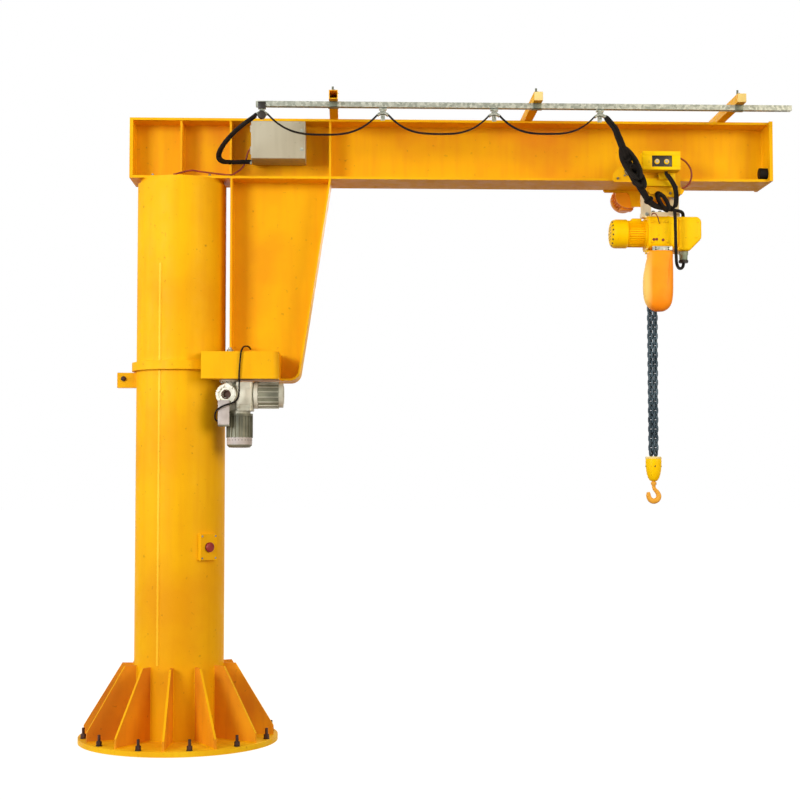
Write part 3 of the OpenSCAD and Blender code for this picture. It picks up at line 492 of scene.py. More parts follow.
ring_bead(base_top + 1, column_r + 2, 5.5)
for angle in GUSSETS:
    for side in (-6.5, 6.5):
        shift = spot(angle + 90, side)
        bead(spot(angle, column_r + 4, base_top + 1) + shift, spot(angle, base_r - 26, base_top + 1) + shift, 4.5, 14)
        bead(spot(angle, column_r, base_top + 4) + shift, spot(angle, column_r, gusset_top - 3) + shift, 4.5, 14)
ring_low, ring_high = place["guide_ring"]
for edge in (ring_low, ring_high):
    ring_bead(edge.z, column_r + 1, 4.5)
ear_low, ear_high = place["stop_ear"]
for y in (ear_low.y, ear_high.y):
    x = -sqrt(column_r ** 2 - y ** 2)
    bead((x, y, ear_low.z), (x, y, ear_high.z), 4)
finish_piece("column_welds", "column", "yellow_paint", crease=50)

# Strips on the gussets' sloping top edges keep the lighter yellow: a painted highlight along the lit edges.
for angle in GUSSETS:
    sweep([spot(angle, column_r + 72, gusset_top), spot(angle, base_r - 23, base_top + 55)],
          [(6.4, -1), (6.4, 0.8), (-6.4, 0.8), (-6.4, -1)], spot(angle + 90, 1))
finish_piece("gusset_edge_highlights", "column", "yellow_paint")
# The seam bead takes the paler enamel, a painted highlight running up the tube.
for z_low, z_high in ((gusset_top + 10, ring_low.z - 4), (ring_high.z + 4, head_top - 500)):
    bead(spot(SEAM, column_r - 2, z_low), spot(SEAM, column_r - 2, z_high), 8.5, 30)
finish_piece("column_seam", "column", "yellow_paint", look="seam_painted_highlight", crease=50)

pin_x, pin_z = ear_low.x + 38, ear_high.z - 36
drum((pin_x, ear_low.y - 2, pin_z), (pin_x, ear_high.y + 2, pin_z), 8, sides=20)
bolt((pin_x, ear_low.y, pin_z), FRONT, 24, 12, 3, 6)
bolt((pin_x, ear_high.y, pin_z), BACK, 24, 12, 3)
finish_piece("stop_ear_bolt", "column", "bare_steel", look="dark_steel")
print("foot and column")

# %% [markdown]
# ## Stop station
# The emergency stop is a red mushroom head on a plate with four screws. Round things are quickest to turn from a
# profile. Collar and screws ride on the column, so they stay while the head moves in with its own body.

# %% Stop station
STATION = -48
out, along = spot(STATION, 1), spot(STATION + 90, 1)
low, high = place["stop_station"]
middle = out * (column_r + 22) + Vector((0, 0, (low.z + high.z) / 2))
for a in (-48, 48):
    for z in (-64, 64):
        turned([(0, 0), (6, 0), (6, 1.5), (4, 3.2), (0, 3.8)], middle + along * a + Vector((0, 0, z)), out, 16)
finish_piece("station_screws", "column", "bare_steel")
turned([(12.5, -2), (27.5, -2), (27.5, 0.3), (26.5, 0.7), (12.5, 0.7)], middle, out)
finish_piece("station_collar", "column", "black_rubber", look="black_plastic")
turned([(0, -4), (11.5, -4), (11.5, 6), (27, 6), (29, 9), (29, 13), (25.5, 17.5), (17, 19.5), (0, 20.2)],
       middle, out, 48)
finish_piece("stop_head", "button", "red_plastic", "stop_button", crease=30)
print("stop station")

# %% [markdown]
# ## Jib, haunch and yoke
# The jib's web, flanges and stiffeners meet in long fillet welds. The yoke carries hexagon nuts over the roller
# pins, and a ring of bolts holds the bearing under the jib's end. All welds are one piece and all bolts another,
# because they share a paint and a body.

# %% Welds and bolts of the jib
web_low, web_high = place["jib_web"]
haunch_low, haunch_high = place["haunch_flanges"]
end_low, end_high = place["jib_end_plates"]
yoke_bottom, foot_z = (corner.z for corner in place["yoke_plates"])
flange_z = place["jib_flanges"][0].z + 15
inner_x = haunch_low.x + 12
for side in (-1, 1):
    for z in (web_low.z, web_high.z):
        bead((web_low.x, side * web_high.y, z), (web_high.x, side * web_high.y, z), 4.5, 20)
        for x in (294, 306, 888, 900):
            bead((x, side * 10, z), (x, side * 138, z), 4, 16)
    for x in (12, end_high.x - 20, end_low.x + 20):
        bead((x, side * 8, web_low.z + 10), (x, side * 8, web_high.z - 10), 4, 16)
    y = side * 7
    bead((inner_x, y, foot_z + 10), (inner_x, y, haunch_high.z - 4), 4.5, 18)
    bead((inner_x, y, haunch_high.z), (haunch_high.x - 20, y, haunch_high.z), 4.5, 18)
    bead((inner_x, y, foot_z), (598, y, foot_z), 4.5, 18)
    bead((haunch_low.x, side * 148, foot_z), (haunch_low.x, side * 10, foot_z), 4, 16)
finish_piece("jib_welds", "jib", "yellow_paint", crease=50)

drive = Vector((308.8, -208, yoke_bottom - 90))
idler = spot(50, 342.3)
for x, y in (idler.xy, drive.xy):
    bolt((x, y, foot_z), UP, 36, 18, 3, 10)
bolt((idler.x, idler.y, yoke_bottom), DOWN, 36, 18, 3, 10)
for x, y in circle(52, 8, drive, 0.5):
    bolt((x, y, yoke_bottom - 12), DOWN, 13, 8)
for x, y in circle(185, 8, lead=0.5):
    if abs(y) < 142:
        bolt((x, y, flange_z), UP, 24, 14, 3, 6)
finish_piece("jib_bolts", "jib", "bare_steel")
print("jib and yoke")

# %% [markdown]
# ## Slewing drive
# The gear unit keeps its solid housing. On it go the bolted covers, the dark bore of the output boss, the throat
# under the boss, the fins along the primary case, the motor's pale fan cover and the terminal box's lid. A fin is
# a four-cornered outline lofted along the axis, which is lighter than a bevelled block for each.
# The case between the fins and the slewing motor's own solid take a darker alloy: painted shade.

# %% Gear unit
def fins(start, direction, length, foot, tip, count, thick, thinning=0.6):
    """Straight fins round an axis, each thinner at its tip."""
    here = facing(start, direction)
    for a, b in circle(1, count, lead=0.5):
        spoke, flat = Vector((a, b, 0)), Vector((-b, a, 0)) * thick / 2
        outline = [spoke * foot + flat, spoke * tip + flat * thinning, spoke * tip - flat * thinning,
                   spoke * foot - flat]
        loft([[here @ (corner + Vector((0, 0, z))) for corner in outline] for z in (0, length)])


motor_low, motor_high = place["slew_motor"]
gear_right = place["slew_gearbox"][1].x
outwards = spot(-100, 1)
boss_face = drive + outwards * 98
for i in range(6):
    reach = outwards.orthogonal().normalized() * 51.5
    reach.rotate(Matrix.Rotation(tau * i / 6, 3, outwards))
    bolt(boss_face + reach, outwards, 11, 6)
case_left, case_right = drive.x + 38, drive.x + 140
for x in (case_left + 16, case_right - 16):
    for z in (motor_high.z - 2, yoke_bottom - 45):
        bolt((x, drive.y - 75, z), FRONT, 14, 7)
block((case_left + 8, drive.y - 78, motor_high.z + 12), (case_right - 8, drive.y - 74.5, yoke_bottom - 58), 1.5)
for y, z in circle(74, 8, drive.yz):
    peg((case_right + 3, y, z), RIGHT, 26, 6)
fins_from, fins_to = case_right + 28, gear_right - 26
fins((fins_from, drive.y, drive.z), RIGHT, fins_to - fins_from, 70, 80.5, 16, 4.4, 0.7)
block((drive.x - 16, drive.y - 40, drive.z - 98), (drive.x + 44, drive.y + 20, drive.z - 40), 4)
drum((gear_right - 1, drive.y, drive.z), (gear_right + 4, drive.y, drive.z), 58, 52, 40)
finish_piece("gear_unit_covers", "jib", "cast_alloy")
# A dark drum on the case between the fins: painted shade in the fin gaps.
peg((fins_from - 1, drive.y, drive.z), RIGHT, fins_to - fins_from + 2, 74.6, 48)
finish_piece("case_between_fins", "jib", "cast_alloy", look="alloy_painted_shade")
peg(boss_face - outwards * 33, outwards, 7, 19.5, 32)
turned([(21.5, 0), (28, 0), (28, 3), (21.5, 3)], boss_face - outwards * 6.8, outwards)
finish_piece("output_bore", "jib", "bare_steel", look="dark_steel")
print("gear unit at", tuple(drive))

# %% Slewing motor
motor = Vector((drive.x + 58, drive.y, motor_low.z))
turned([(0, -1), (50, -1), (62, 2), (71.5, 11), (74.5, 22), (74.5, 58), (72.5, 59.5), (60, 59.5), (0, 59.5)],
       motor, UP, 56)
finish_piece("slew_fan_cover", "jib", "cast_alloy", look="pale_plastic")
# Dark discs on the fan cover's end and dark spots round its side stand for the vent openings: painted shade in the
# holes.
for ring, count in ((20, 6), (36, 12)):
    for x, y in circle(ring, count, motor):
        peg((x, y, motor.z - 1.6), UP, 1.6, 3.5, 10)
for x, y in circle(74.2, 24):
    drum(motor + Vector((x, y, 43)), motor + Vector((x * 1.01, y * 1.01, 43)), 3, sides=8)
finish_piece("slew_fan_vents", "jib", "black_rubber", look="black_plastic")

lid_y, lid_z = drive.y - 116.5, motor_high.z
block((drive.x - 60, lid_y, lid_z - 108), (drive.x + 6, lid_y + 5, lid_z + 35), 2)
for x in (-53, -1):
    for z in (-101, 28):
        peg((drive.x + x, lid_y, lid_z + z), FRONT, 2.5, 4)
finish_piece("terminal_lid", "jib", "cast_alloy", look="pale_plastic")
print("slewing motor")

# %% [markdown]
# ## Cabinet
# The cabinet's door is a shallow bevelled pan that overlaps the body. It has two quarter-turn locks, two hinge
# knuckles and cable glands on the side where the cables come in. The bevel alone gives the pan its pressed edge.

# %% Cabinet
low, high = place["cabinet"]
block((low.x - 0.8, low.y - 1.2, low.z - 0.8), (high.x + 0.8, low.y + 21, high.z + 0.8), 4, 3)
for z in (low.z + 45, high.z - 45):
    peg((low.x - 3, low.y + 12, z - 20), UP, 40, 4.5, 14)
finish_piece("cabinet_door", "jib", "cabinet_paint")
for z in (low.z + 55, high.z - 55):
    head((high.x - 20, low.y - 1, z), FRONT, 11, 2, 9, 3.5, 24)
for y, z in ((-160, 3436), (-150, 3517)):
    bolt((low.x, y, z), LEFT, 27, 9, 2)
finish_piece("cabinet_fittings", "jib", "galvanised")
print("cabinet")

# %% [markdown]
# ## Cables
# The festoon's flat cable has four cores side by side. Between two saddles it hangs in a bight whose ends leave the
# saddles at their wrap angle, and each bight rides on no body. The other cables each ride
# on one body. A few way points with a smooth line through them place a cable faster than a curve with handles.

# %% Festoon
WRAP = radians(48)
RIBBON = [(-13 + 6.5 * core + 3.25 * (1 - cos(a)), -3 * sin(a) - 1)
          for core in range(4) for a in (0.25, 1, pi / 2, pi - 1)]
RIBBON += [(-x, -y) for x, y in RIBBON]
rail_y, rail_z = -560, place["festoon_rail"][0].z
saddles = [510, 1200, 1840, 2450]
saddle_z, cable_r = rail_z - 72, 44
leave_x, leave_z = cable_r * sin(WRAP), saddle_z + cable_r * cos(WRAP)
carriers = ["jib", "carriage_1", "carriage_2", "carriage_3"]


for i in range(3):
    start, end = saddles[i] + leave_x, saddles[i + 1] - leave_x
    half = (end - start) / 2
    sag = half * tan(WRAP) / 3
    shares = [k / 30 - 1 for k in range(61)]
    sweep([Vector((start + half * (u + 1), rail_y, leave_z - sag * (1 - abs(u) ** 3))) for u in shares], RIBBON)
    bight = finish_piece(f"festoon_bight_{i + 1}", None, "black_rubber", f"festoon_loop_{i + 1}", crease=60)
    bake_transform(bight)
for i, x in enumerate(saddles):
    block((x - 16, rail_y - 20, saddle_z + 48.5), (x + 16, rail_y + 20, saddle_z + 52.5), 1)
    for y in (-16.5, 16.5):
        bolt((x, rail_y + y, saddle_z + 52.5), UP, 10, 6)
    for screw_x in (x - 6, x + 6):
        peg((screw_x, rail_y - 21, saddle_z + 20), FRONT, 2, 4)
    finish_piece(f"saddle_grip_{i + 1}", carriers[i], "galvanised")
    arc = [WRAP * (1 - k / 10) for k in range(21)]
    sweep([Vector((x - cable_r * sin(a), rail_y, saddle_z + cable_r * cos(a))) for a in arc],
          [(a * 1.03, b * 1.12) for a, b in RIBBON])
    finish_piece(f"saddle_cable_{i + 1}", carriers[i], "black_rubber", crease=60)

x = saddles[0]
turned([(0, 0), (20, 0), (24, 4), (24, 18), (20, 24), (8, 26), (0, 26)], (x, rail_y - 18, saddle_z + 18), FRONT, 24)
block((x - 22, rail_y - 22.5, rail_z - 16), (x + 22, rail_y - 19.5, rail_z + 26), 1)
finish_piece("clamp_knob", "jib", "bare_steel", look="black_plastic")

arm_low, arm_high = place["festoon_arms"]
ARMS = (917, 2085, 3253)
for x in ARMS[1:]:
    block((x - 24.5, -646.5, arm_low.z + 0.5), (x + 24.5, -643.5, arm_high.z - 0.5), 1.2)
finish_piece("arm_caps", "jib", "yellow_paint", look="rim_cream")
for x in ARMS:
    peg((x - 4, rail_y, arm_high.z - 2), UP, 42, 6, 14)
    bolt((x - 4, rail_y, arm_high.z), UP, 19, 10, 3)
    plate([(x + 4, arm_high.z), (x + 30, arm_high.z), (x + 6, arm_high.z + 26)], rail_y - 4, rail_y + 4, 0.8, 1)
    block((x - 30, rail_y - 24, rail_z - 3), (x + 30, rail_y + 24, rail_z + 0.5), 0.8)
    for y in (rail_y - 24, rail_y + 21):
        block((x - 22, y, rail_z - 3), (x + 22, y + 3, rail_z + 34), 0.8)
finish_piece("rail_brackets", "jib", "galvanised", look="bracket_grey")
print("festoon", len(saddles), "saddles")

# %% Cables on the jib
def cord(points, radius, steps=7, sides=12, across=BACK):
    """A round cable along a smooth line through the points."""
    line = smooth_path(points, steps)
    sweep(line, circle(radius, sides), across)
    return line


clamp_left = Vector((saddles[0] - leave_x, rail_y, leave_z))
leaving = Vector((cos(WRAP), 0, sin(WRAP)))
supply = smooth_path([clamp_left - leaving * s for s in (-2, 9, 20)] + [
    (400, -540, 3572), (345, -500, 3535), (290, -440, 3490), (255, -370, 3455), (245, -310, 3430),
    (262, -250, 3420), (300, -205, 3425), (350, -175, 3432), (396, -161, 3436), (412, -160, 3436),
    (429, -160, 3436)], 6)
for shift in (-8.5, 8.5):
    sweep(supply, circle(8.5, 12, (shift, 0)))
for i in (14, 26, 40, 54):
    sweep(supply[i:i + 2], [(a * 1.15, b * 0.62) for a, b in circle(20.5, 16)])
finish_piece("supply_leads", "jib", "black_rubber", "supply_cable", crease=60)

cord([(415, -7, 2330), (412, -60, 2336), (404, -160, 2334), (395, -270, 2322), (388, -330, 2305),
      (382, -347, 2280), (376, -347, 2220), (372, -346, 2150), (372, -344, 2100), (372, -344, 2050),
      (360, -343, 2008), (325, -341, 1986), (285, -339, 1974), (244, -330, 1948), (230, -304, 1918),
      (231, -278, 1896), (238, -264, 1887), (249.5, -262, 1886)], 5, 6, across=None)
bolt((248.8, -262, 1886), LEFT, 16, 8)
finish_piece("slew_lead", "jib", "black_rubber", "jib_wires", crease=60)
cord([(428.5, -150, 3517), (415, -150, 3516), (402, -150, 3490), (392, -149, 3450), (372, -147, 3405),
      (335, -146, 3376), (300, -146, flange_z + 5.6), (220, -146, flange_z + 12), (120, -146, flange_z + 24),
      (60, -146, flange_z + 30), (-40, -146, flange_z + 5.4)], 5, 6, across=None)
finish_piece("earth_lead", "jib", "black_rubber", look="red_lead", crease=60)
print("cables on the jib")

# %% [markdown]
# ## Trolley
# The side plates carry the wheel axles in capped bearings. The control box has a recessed dark window with two
# pale dials. Four bars frame that window, because a Boolean cut would leave poor edges for the bevel. The travel
# motor is a finned body between an end shield and a fan cover.

# %% Trolley
plates_low, plates_high = place["trolley_plates"]
front, rear = plates_low.y, plates_high.y
wheel_z = sum(corner.z for corner in place["trolley_wheels"]) / 2
for x in (2690, 2895):
    for y, way in ((front, FRONT), (rear, BACK)):
        turned([(0, 0), (31, 0), (31, 4), (27, 10), (18, 14), (0, 14)], (x, y, wheel_z), way, 32)
        for bolt_x, bolt_z in circle(40, 4, (x, wheel_z), 0.5):
            bolt((bolt_x, y, bolt_z), way, 10, 6, 1.5)
for x, z in ((2620, 3350), (2735, 3345), (2790, 3262), (2935, 3262), (2975, 3300), (2955, 3385)):
    bolt((x, front, z), FRONT, 13, 8, 1.5, 4)
    bolt((x, rear, z), BACK, 13, 8, 1.5)
finish_piece("trolley_caps", "trolley", "bare_steel", look="worn_steel")
block((2775, front - 20, 3300), (2965, front - 0.5, 3348), 4)
block((2860, front - 34, 3338), (2960, front - 18, 3380), 3)
finish_piece("trolley_block", "trolley", "hoist_paint")
print("trolley")

# %% Control box
low, high = place["control_box"]
left, right, face = low.x - 0.6, high.x + 0.6, low.y - 0.6
sill, lintel = low.z + 17.5, high.z - 24.5
for x_from, x_to, z_from, z_to, bevel in (
        (left, right, low.z - 0.6, sill, 1.5), (left, right, lintel, high.z + 0.6, 1.5),
        (left, low.x + 54.5, sill, lintel, 0.4), (high.x - 48.5, right, sill, lintel, 0.4)):
    block((x_from, face, z_from), (x_to, low.y + 12, z_to), bevel)
for x in (low.x + 12, high.x - 12):
    for z in (low.z + 10, high.z - 10):
        peg((x, face, z), FRONT, 2.4, 5, 14)
finish_piece("control_box_front", "trolley", "hoist_paint")
block((low.x + 54, low.y + 5, low.z + 17), (high.x - 48, low.y + 8.5, low.z + 85.5), 1)
finish_piece("control_window", "trolley", "black_rubber", look="black_plastic")
for x in (low.x + 85, low.x + 142):
    turned([(0, 0), (14, 0), (14, 3), (10.5, 4), (9.5, 9), (7, 10.5), (0, 10.5)],
           (x, low.y + 5.8, low.z + 50), FRONT, 28)
finish_piece("control_dials", "trolley", "cast_alloy", look="pale_plastic")
print("control box", tuple(high - low))

# %% Travel motor
low, high = place["travel_motor"]
motor_x, motor_z, r = (low.x + high.x) / 2, (low.z + high.z) / 2, (high.x - low.x) / 2
turned([(0, 0), (r, 0), (r, 12), (r - 8, 16), (r - 12, 30), (0, 30)], (motor_x, low.y + 0.5, motor_z), BACK, 56)
peg((motor_x, low.y + 28, motor_z), BACK, 120, r - 14, 48)
fins((motor_x, low.y + 28, motor_z), BACK, 120, r - 17, r - 1, 30, 4)
turned([(60, 0), (r - 4, 0), (r - 2, 4), (r - 2, 60), (r - 12, 78), (r - 30, 85), (0, 86)],
       (motor_x, high.y - 87, motor_z), BACK, 56)
block((motor_x - 40, low.y + 50, motor_z - r - 4), (motor_x + 40, low.y + 130, motor_z - r + 30), 6)
for x, z in circle(68, 4, (motor_x, motor_z), 0.5):
    bolt((x, low.y + 12, z), BACK, 12, 8)
finish_piece("travel_drive", "trolley", "motor_orange", "travel_motor")
print("travel motor, radius", r)

# %% [markdown]
# ## Hoist
# The hoist hangs on a pale hanger. From left to right it has a vented fan cover, a finned motor, a banded gear
# housing with bolts, and a sloping electrical cover with a plug socket under it. Turned and lofted shapes are
# close to how these castings are machined.

# %% Hoist motor
low, high = place["hoist_motor"]
axis_z, r = (low.z + high.z) / 2, (high.z - low.z) / 2
rounded = [(r - 34 + 34 * sin(a), 34 - 34 * cos(a)) for a in (0.3, 0.6, 0.9, 1.2, pi / 2)]
turned([(0, 0), (r - 38, 0)] + rounded + [(r, 98), (r - 3, 102), (r - 6, 104), (0, 104)],
       (low.x, 0, axis_z), RIGHT, 64)
peg((low.x + 103, 0, axis_z), RIGHT, 104, r - 18, 48)
fins((low.x + 103, 0, axis_z), RIGHT, 104, r - 21, r - 6.5, 34, 4.2)
turned([(0, 0), (r - 4, 0), (r - 3, 1), (r - 3, 13), (0, 13)], (high.x - 13.5, 0, axis_z), RIGHT, 56)
for y, z in circle(r - 12, 8, (0, axis_z), 0.5):
    bolt((high.x - 13.5, y, z), LEFT, 10, 6)
block((low.x + 130, -30, axis_z + r - 20), (low.x + 190, 30, axis_z + r + 4), 4)
finish_piece("hoist_drive", "trolley", "hoist_paint", "hoist_motor")
# Dark discs on the fan cover's face and slots round its rim stand for the vent openings: painted shade in the holes.
for ring, count, size in ((22, 6, 4.2), (40, 12, 4.8)):
    for y, z in circle(ring, count, (0, axis_z)):
        peg((low.x - 0.6, y, z), RIGHT, 2.6, size)
for y, z in circle(1, 16, lead=0.5):
    spoke = Vector((0, y, z))
    lean = (spoke * 0.6 - Vector((0.8, 0, 0))).normalized()
    foot = Vector((low.x + 8.8, 0, axis_z)) + spoke * (r - 11.8)
    peg(foot - lean * 2, lean, 2.6, 6.2)
finish_piece("hoist_vents", "trolley", "black_rubber", look="dark_steel")
print("hoist motor, radius", r)

# %% Gear housing
CORNER = 34
low, high = place["hoist_housing"]
core = (high.y - low.y) / 2 - CORNER
housing_x = high.x - 177
for start, end, out in ((0, 13, 3), (52, 64, 2.5), (118, 132, 3), (168, 177, 2.5)):
    outline = []
    for quarter, (y, z) in enumerate(((1, 1), (-1, 1), (-1, -1), (1, -1))):
        for k in range(6):
            spin = pi / 2 * (quarter + k / 5)
            outline.append((y * core + (CORNER + out) * cos(spin), axis_z + z * core + (CORNER + out) * sin(spin)))
    loft([[(housing_x + x, y, z) for y, z in outline] for x in (start + 0.2, end - 0.2)])
for x in (housing_x + 20, housing_x + 110):
    for z in (axis_z - 60, axis_z + 60):
        bolt((x, low.y, z), FRONT, 13, 8, 2)
        bolt((x, high.y, z), BACK, 13, 8, 2)
finish_piece("housing_bands", "trolley", "hoist_paint")
for x, z in ((30, -48), (48, -46), (86, -50)):
    head((housing_x + x, low.y - 0.4, axis_z + z), FRONT, 8.5, 3, 5, 4.5)
finish_piece("housing_plugs", "trolley", "black_rubber", look="red_lead")
print("gear housing")

# %% Hoist cover and hanger
low, high = place["hoist_cover"]
top, bottom = axis_z + 96, axis_z - 112
plate([(low.x, bottom), (low.x + 76, bottom), (high.x, bottom + 74), (high.x, top - 22), (high.x - 20, top),
       (low.x, top)], -86, 86, 13, 4)
for x, z in ((18, 70), (18, -90), (125, 66), (118, -30)):
    head((low.x + x, -86, axis_z + z), FRONT, 7.5, 2, 5, 4, 18)
finish_piece("electrical_cover", "trolley", "hoist_paint", "hoist_cover")
gland = Vector((low.x + 48, -28, bottom))
turned([(0, 2), (29, 2), (29, -18), (25.5, -23), (24, -66), (0, -66)], gland, UP)
finish_piece("plug_socket", "trolley", "cast_alloy", look="socket_grey")
turned([(23.5, 2), (27.5, 0), (28.5, -10), (26, -18), (8.5, -20), (8.5, 2)], gland - Vector((0, 0, 51)), UP)
for x, y in circle(28, 24, gland):
    peg((x, y, bottom - 65), UP, 12, 1.4, 8)
finish_piece("plug_cuff", "trolley", "black_rubber", look="black_plastic")

low, high = place["hoist_hanger"]
for x in (2823, 2993):
    turned([(16.5, 0), (26, 0), (26, 4), (23, 6), (16.5, 6)], (x, low.y, 3274), FRONT, 32)
    bolt((x, low.y, 3160), FRONT, 18, 10, 2)
for x in (2868, 2908, 2948):
    bolt((x, 0, high.z - 132), UP, 18, 10, 2)
finish_piece("hanger_bolts", "trolley", "bare_steel", look="zinc_coat")
print("cover and hanger")

# %% [markdown]
# ### Cables on the trolley
# The drop cable comes down from the last saddle as four loose strands, tied three times, with three coils of slack.
# Its tail hangs in front of the cover and turns up into the plug socket.

# %% Cables on the trolley
drop_start = Vector((saddles[3] + leave_x, rail_y, leave_z))
away = Vector((cos(WRAP), 0, -sin(WRAP)))
drop_line = smooth_path([drop_start + away * s for s in (-2, 9, 20)] + [
    (2540, -540, 3572), (2565, -505, 3530), (2600, -455, 3470), (2635, -400, 3410), (2675, -345, 3350),
    (2720, -295, 3295), (2765, -250, 3245), (2805, -210, 3205), (2850, -170, 3184), (2900, -140, 3176),
    (2950, -120, 3172), (2995, -90, 3172), (3030, -60, 3168), (3040, -50, 3154), (3040, -50, 3139)], 7)
for strand, (radius, reach) in enumerate(((10.5, 6), (10, 15), (9.5, 17), (8.5, 16))):
    wander = []
    for k, centre in enumerate(drop_line):
        share = k / (len(drop_line) - 1)
        loose = sin(pi * min(share * 1.3, 1)) ** 0.5
        spin = tau * strand / 3 + 5.5 * share
        wander.append(centre + Vector((0.72 * cos(spin), 0.3 * sin(spin), 0.62 * cos(spin))) * reach * loose)
    sweep(wander, circle(radius))
for i in (40, 54, 68):
    sweep(drop_line[i:i + 2], circle(29, 20))
COILS = (((2655, -395, 3395), 95, 34, 4, 10), ((2700, -350, 3330), 75, 28, 3, 9.5),
         ((2893, -172, 3212), 58, 20, 3, 9.5))
for middle, length, width, turns, radius in COILS:
    coil = []
    for k in range(32 * turns + 1):
        spin = tau * k / 32
        swing = 1 - 0.16 * cos(spin / turns + length * 0.04)
        coil.append(Vector(middle) + Vector((0.56, 0.36, -0.75)) * length * swing * cos(spin)
                    + Vector((-0.76, 0.08, -0.5)) * width * swing * sin(spin)
                    + Vector((0, 10 * (turns / 2 - k / 32), 0)))
    sweep(coil, circle(radius, 10))
finish_piece("hoist_bundle", "trolley", "black_rubber", "hoist_cables", crease=60)

cord([(2935, -140, 3190), (2962, -146, 3170), (2970, -147, 3130), (2972, -146, 3040), (2974, -143, 2950),
      (2977, -137, 2884), (2985, -116, 2844), (3006, -76, 2824), (3030, -44, 2828), (3043, -29, 2845),
      (3045, -28, 2862)], 9.5)
low, high = place["control_box"]
control_line = cord([
    (2900, -235, low.z + 1), (2902, -236, low.z - 20), (2925, -232, 3330), (2952, -215, 3290),
    (2965, -190, 3240), (2968, -165, 3200), (2966, -148, 3184)], 10.5)
sweep([point + Vector((10, -4, 2)) for point in control_line[6:]], circle(7.5, 10))
finish_piece("hoist_tails", "trolley", "black_rubber", crease=60)
cord([(high.x - 1, -236, 3462), (high.x + 14, -238, 3460), (3020, -240, 3436), (3047, -238, 3395),
      (3052, -232, 3350), (3040, -220, 3312), (3015, -200, 3292), (2996, -182, 3288)], 5.5)
cord([(2838, -100, 3139), (2842, -110, 3150), (2856, -128, 3146), (2870, -126, 3122), (2880, -112, 3098),
      (2886, -101, 3092)], 3.2, sides=10)
finish_piece("signal_leads", "trolley", "black_rubber", look="red_lead", crease=60)
print("cables on the trolley")

# %% [markdown]
# ## Chain and bag
# The load chain has two falls of short links, each link turned across the next. A real chain shortens towards the
# hoist as the hook rises, because it runs into the bag; this one is built at a single length. The bag is lofted from
# level to level, and bulges where the slack chain lies in it.

# %% Chain
CHAIN_X, CHAIN_LOW, CHAIN_TOP = 2857, 1681.3, 2923.7
WIRE, INSIDE, PITCH = 13.8, 12.2, 28
spare = PITCH + 2 * WIRE
links = round((CHAIN_TOP - CHAIN_LOW - spare) / PITCH)
step = (CHAIN_TOP - CHAIN_LOW - spare) / links
turn_r, straight = (INSIDE + WIRE) / 2, step - INSIDE
for side in (-1, 1):
    for i in range(links + 1):
        centre = Vector((CHAIN_X + side * (13.8 + 2.4 * i / links), 0, CHAIN_LOW + spare / 2 + i * step))
        across = Vector((0.7071, -0.7071 if i % 2 else 0.7071, 0))
        line = []
        for end in (1, -1):
            for k in range(7):
                spin = pi * k / 6
                bend = Vector((0, 0, straight / 2 + turn_r * sin(spin)))
                line.append(centre + end * (across * turn_r * cos(spin) + bend))
        sweep(line, circle(WIRE / 2, 8), across.cross(Vector(UP)), closed=True)
falls = finish_piece("chain_falls", "trolley", "chain_steel", "load_chain", crease=60)
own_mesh(falls)
print("chain links", 2 * (links + 1))

# %% Chain bag
BAG_LEFT, BAG_RIGHT, BAG_TOP = CHAIN_X - 58, CHAIN_X + 102, 2924
LEVELS = (  # below the bag's top, in from the left, in from the right, half depth, squareness
    (0, 12, 6, 48, 3.4), (12, 10, 4, 52, 3.4), (14, 7, 2, 55, 3.4), (40, 6, 1, 57, 3.4), (42, 7, 3, 56, 3.3),
    (75, -1, 1, 59, 3.2), (110, -9, 0, 62, 3.1), (160, -18, 0, 64, 3), (230, -20, 0, 65, 2.9),
    (290, -16, 3, 64, 2.8), (325, -4, 10, 59, 2.8), (348, 14, 24, 50, 2.7), (364, 36, 44, 36, 2.6),
    (371, 58, 64, 18, 2.4))
low = place["chain_bag"][0]
rings = []
for drop, inset, far_inset, depth, square in LEVELS:
    left, right = BAG_LEFT + inset, BAG_RIGHT - far_inset
    ring = []
    for c, s in circle(1, 40):
        x = (left + right) / 2 + (right - left) / 2 * copysign(abs(c) ** (2 / square), c)
        y = low.y + 65 + depth * copysign(abs(s) ** (2 / square), s)
        ripple = 1.2 * noise.noise(Vector((x * 0.016, y * 0.016, drop * 0.022)))
        ring.append((x + ripple * c, y + ripple * s, BAG_TOP - drop))
    rings.append(ring)
loft(rings)
seam = [Vector((BAG_RIGHT - 20 - 16 * sin(pi * t) - 45 * t ** 3, low.y + 3.5 + 22 * t ** 6, BAG_TOP - 50 - 275 * t))
        for t in [k / 24 for k in range(25)]]
sweep(seam, circle(1.6, 6))
block((CHAIN_X - 4, -66, BAG_TOP - 4), (BAG_RIGHT - 29, -52, BAG_TOP + 20.5), 2)
shell = finish_piece("bag_shell", "trolley", "bag_plastic", "chain_bag", crease=50)
rounding = shell.modifiers.new("rounding", "SUBSURF")
rounding.levels = rounding.render_levels = 1
for z in (BAG_TOP, BAG_TOP + 12):
    for x in (BAG_LEFT + 50, BAG_RIGHT - 34):
        bolt((x, low.y + 30, z), FRONT, 10, 5, 1)
block((BAG_LEFT + 30, low.y + 24, BAG_TOP - 4.5), (BAG_RIGHT - 10, low.y + 32, BAG_TOP + 20.5), 1)
finish_piece("bag_hanger", "trolley", "bare_steel", look="zinc_coat")
print("chain bag")

# %% [markdown]
# ## Block and hook
# The block is a turned weight with a pale rim and four cap screws. The hook is forged, so its section swells
# towards the bowl and thins to the tip: a sweep with a list of sizes makes both at once.

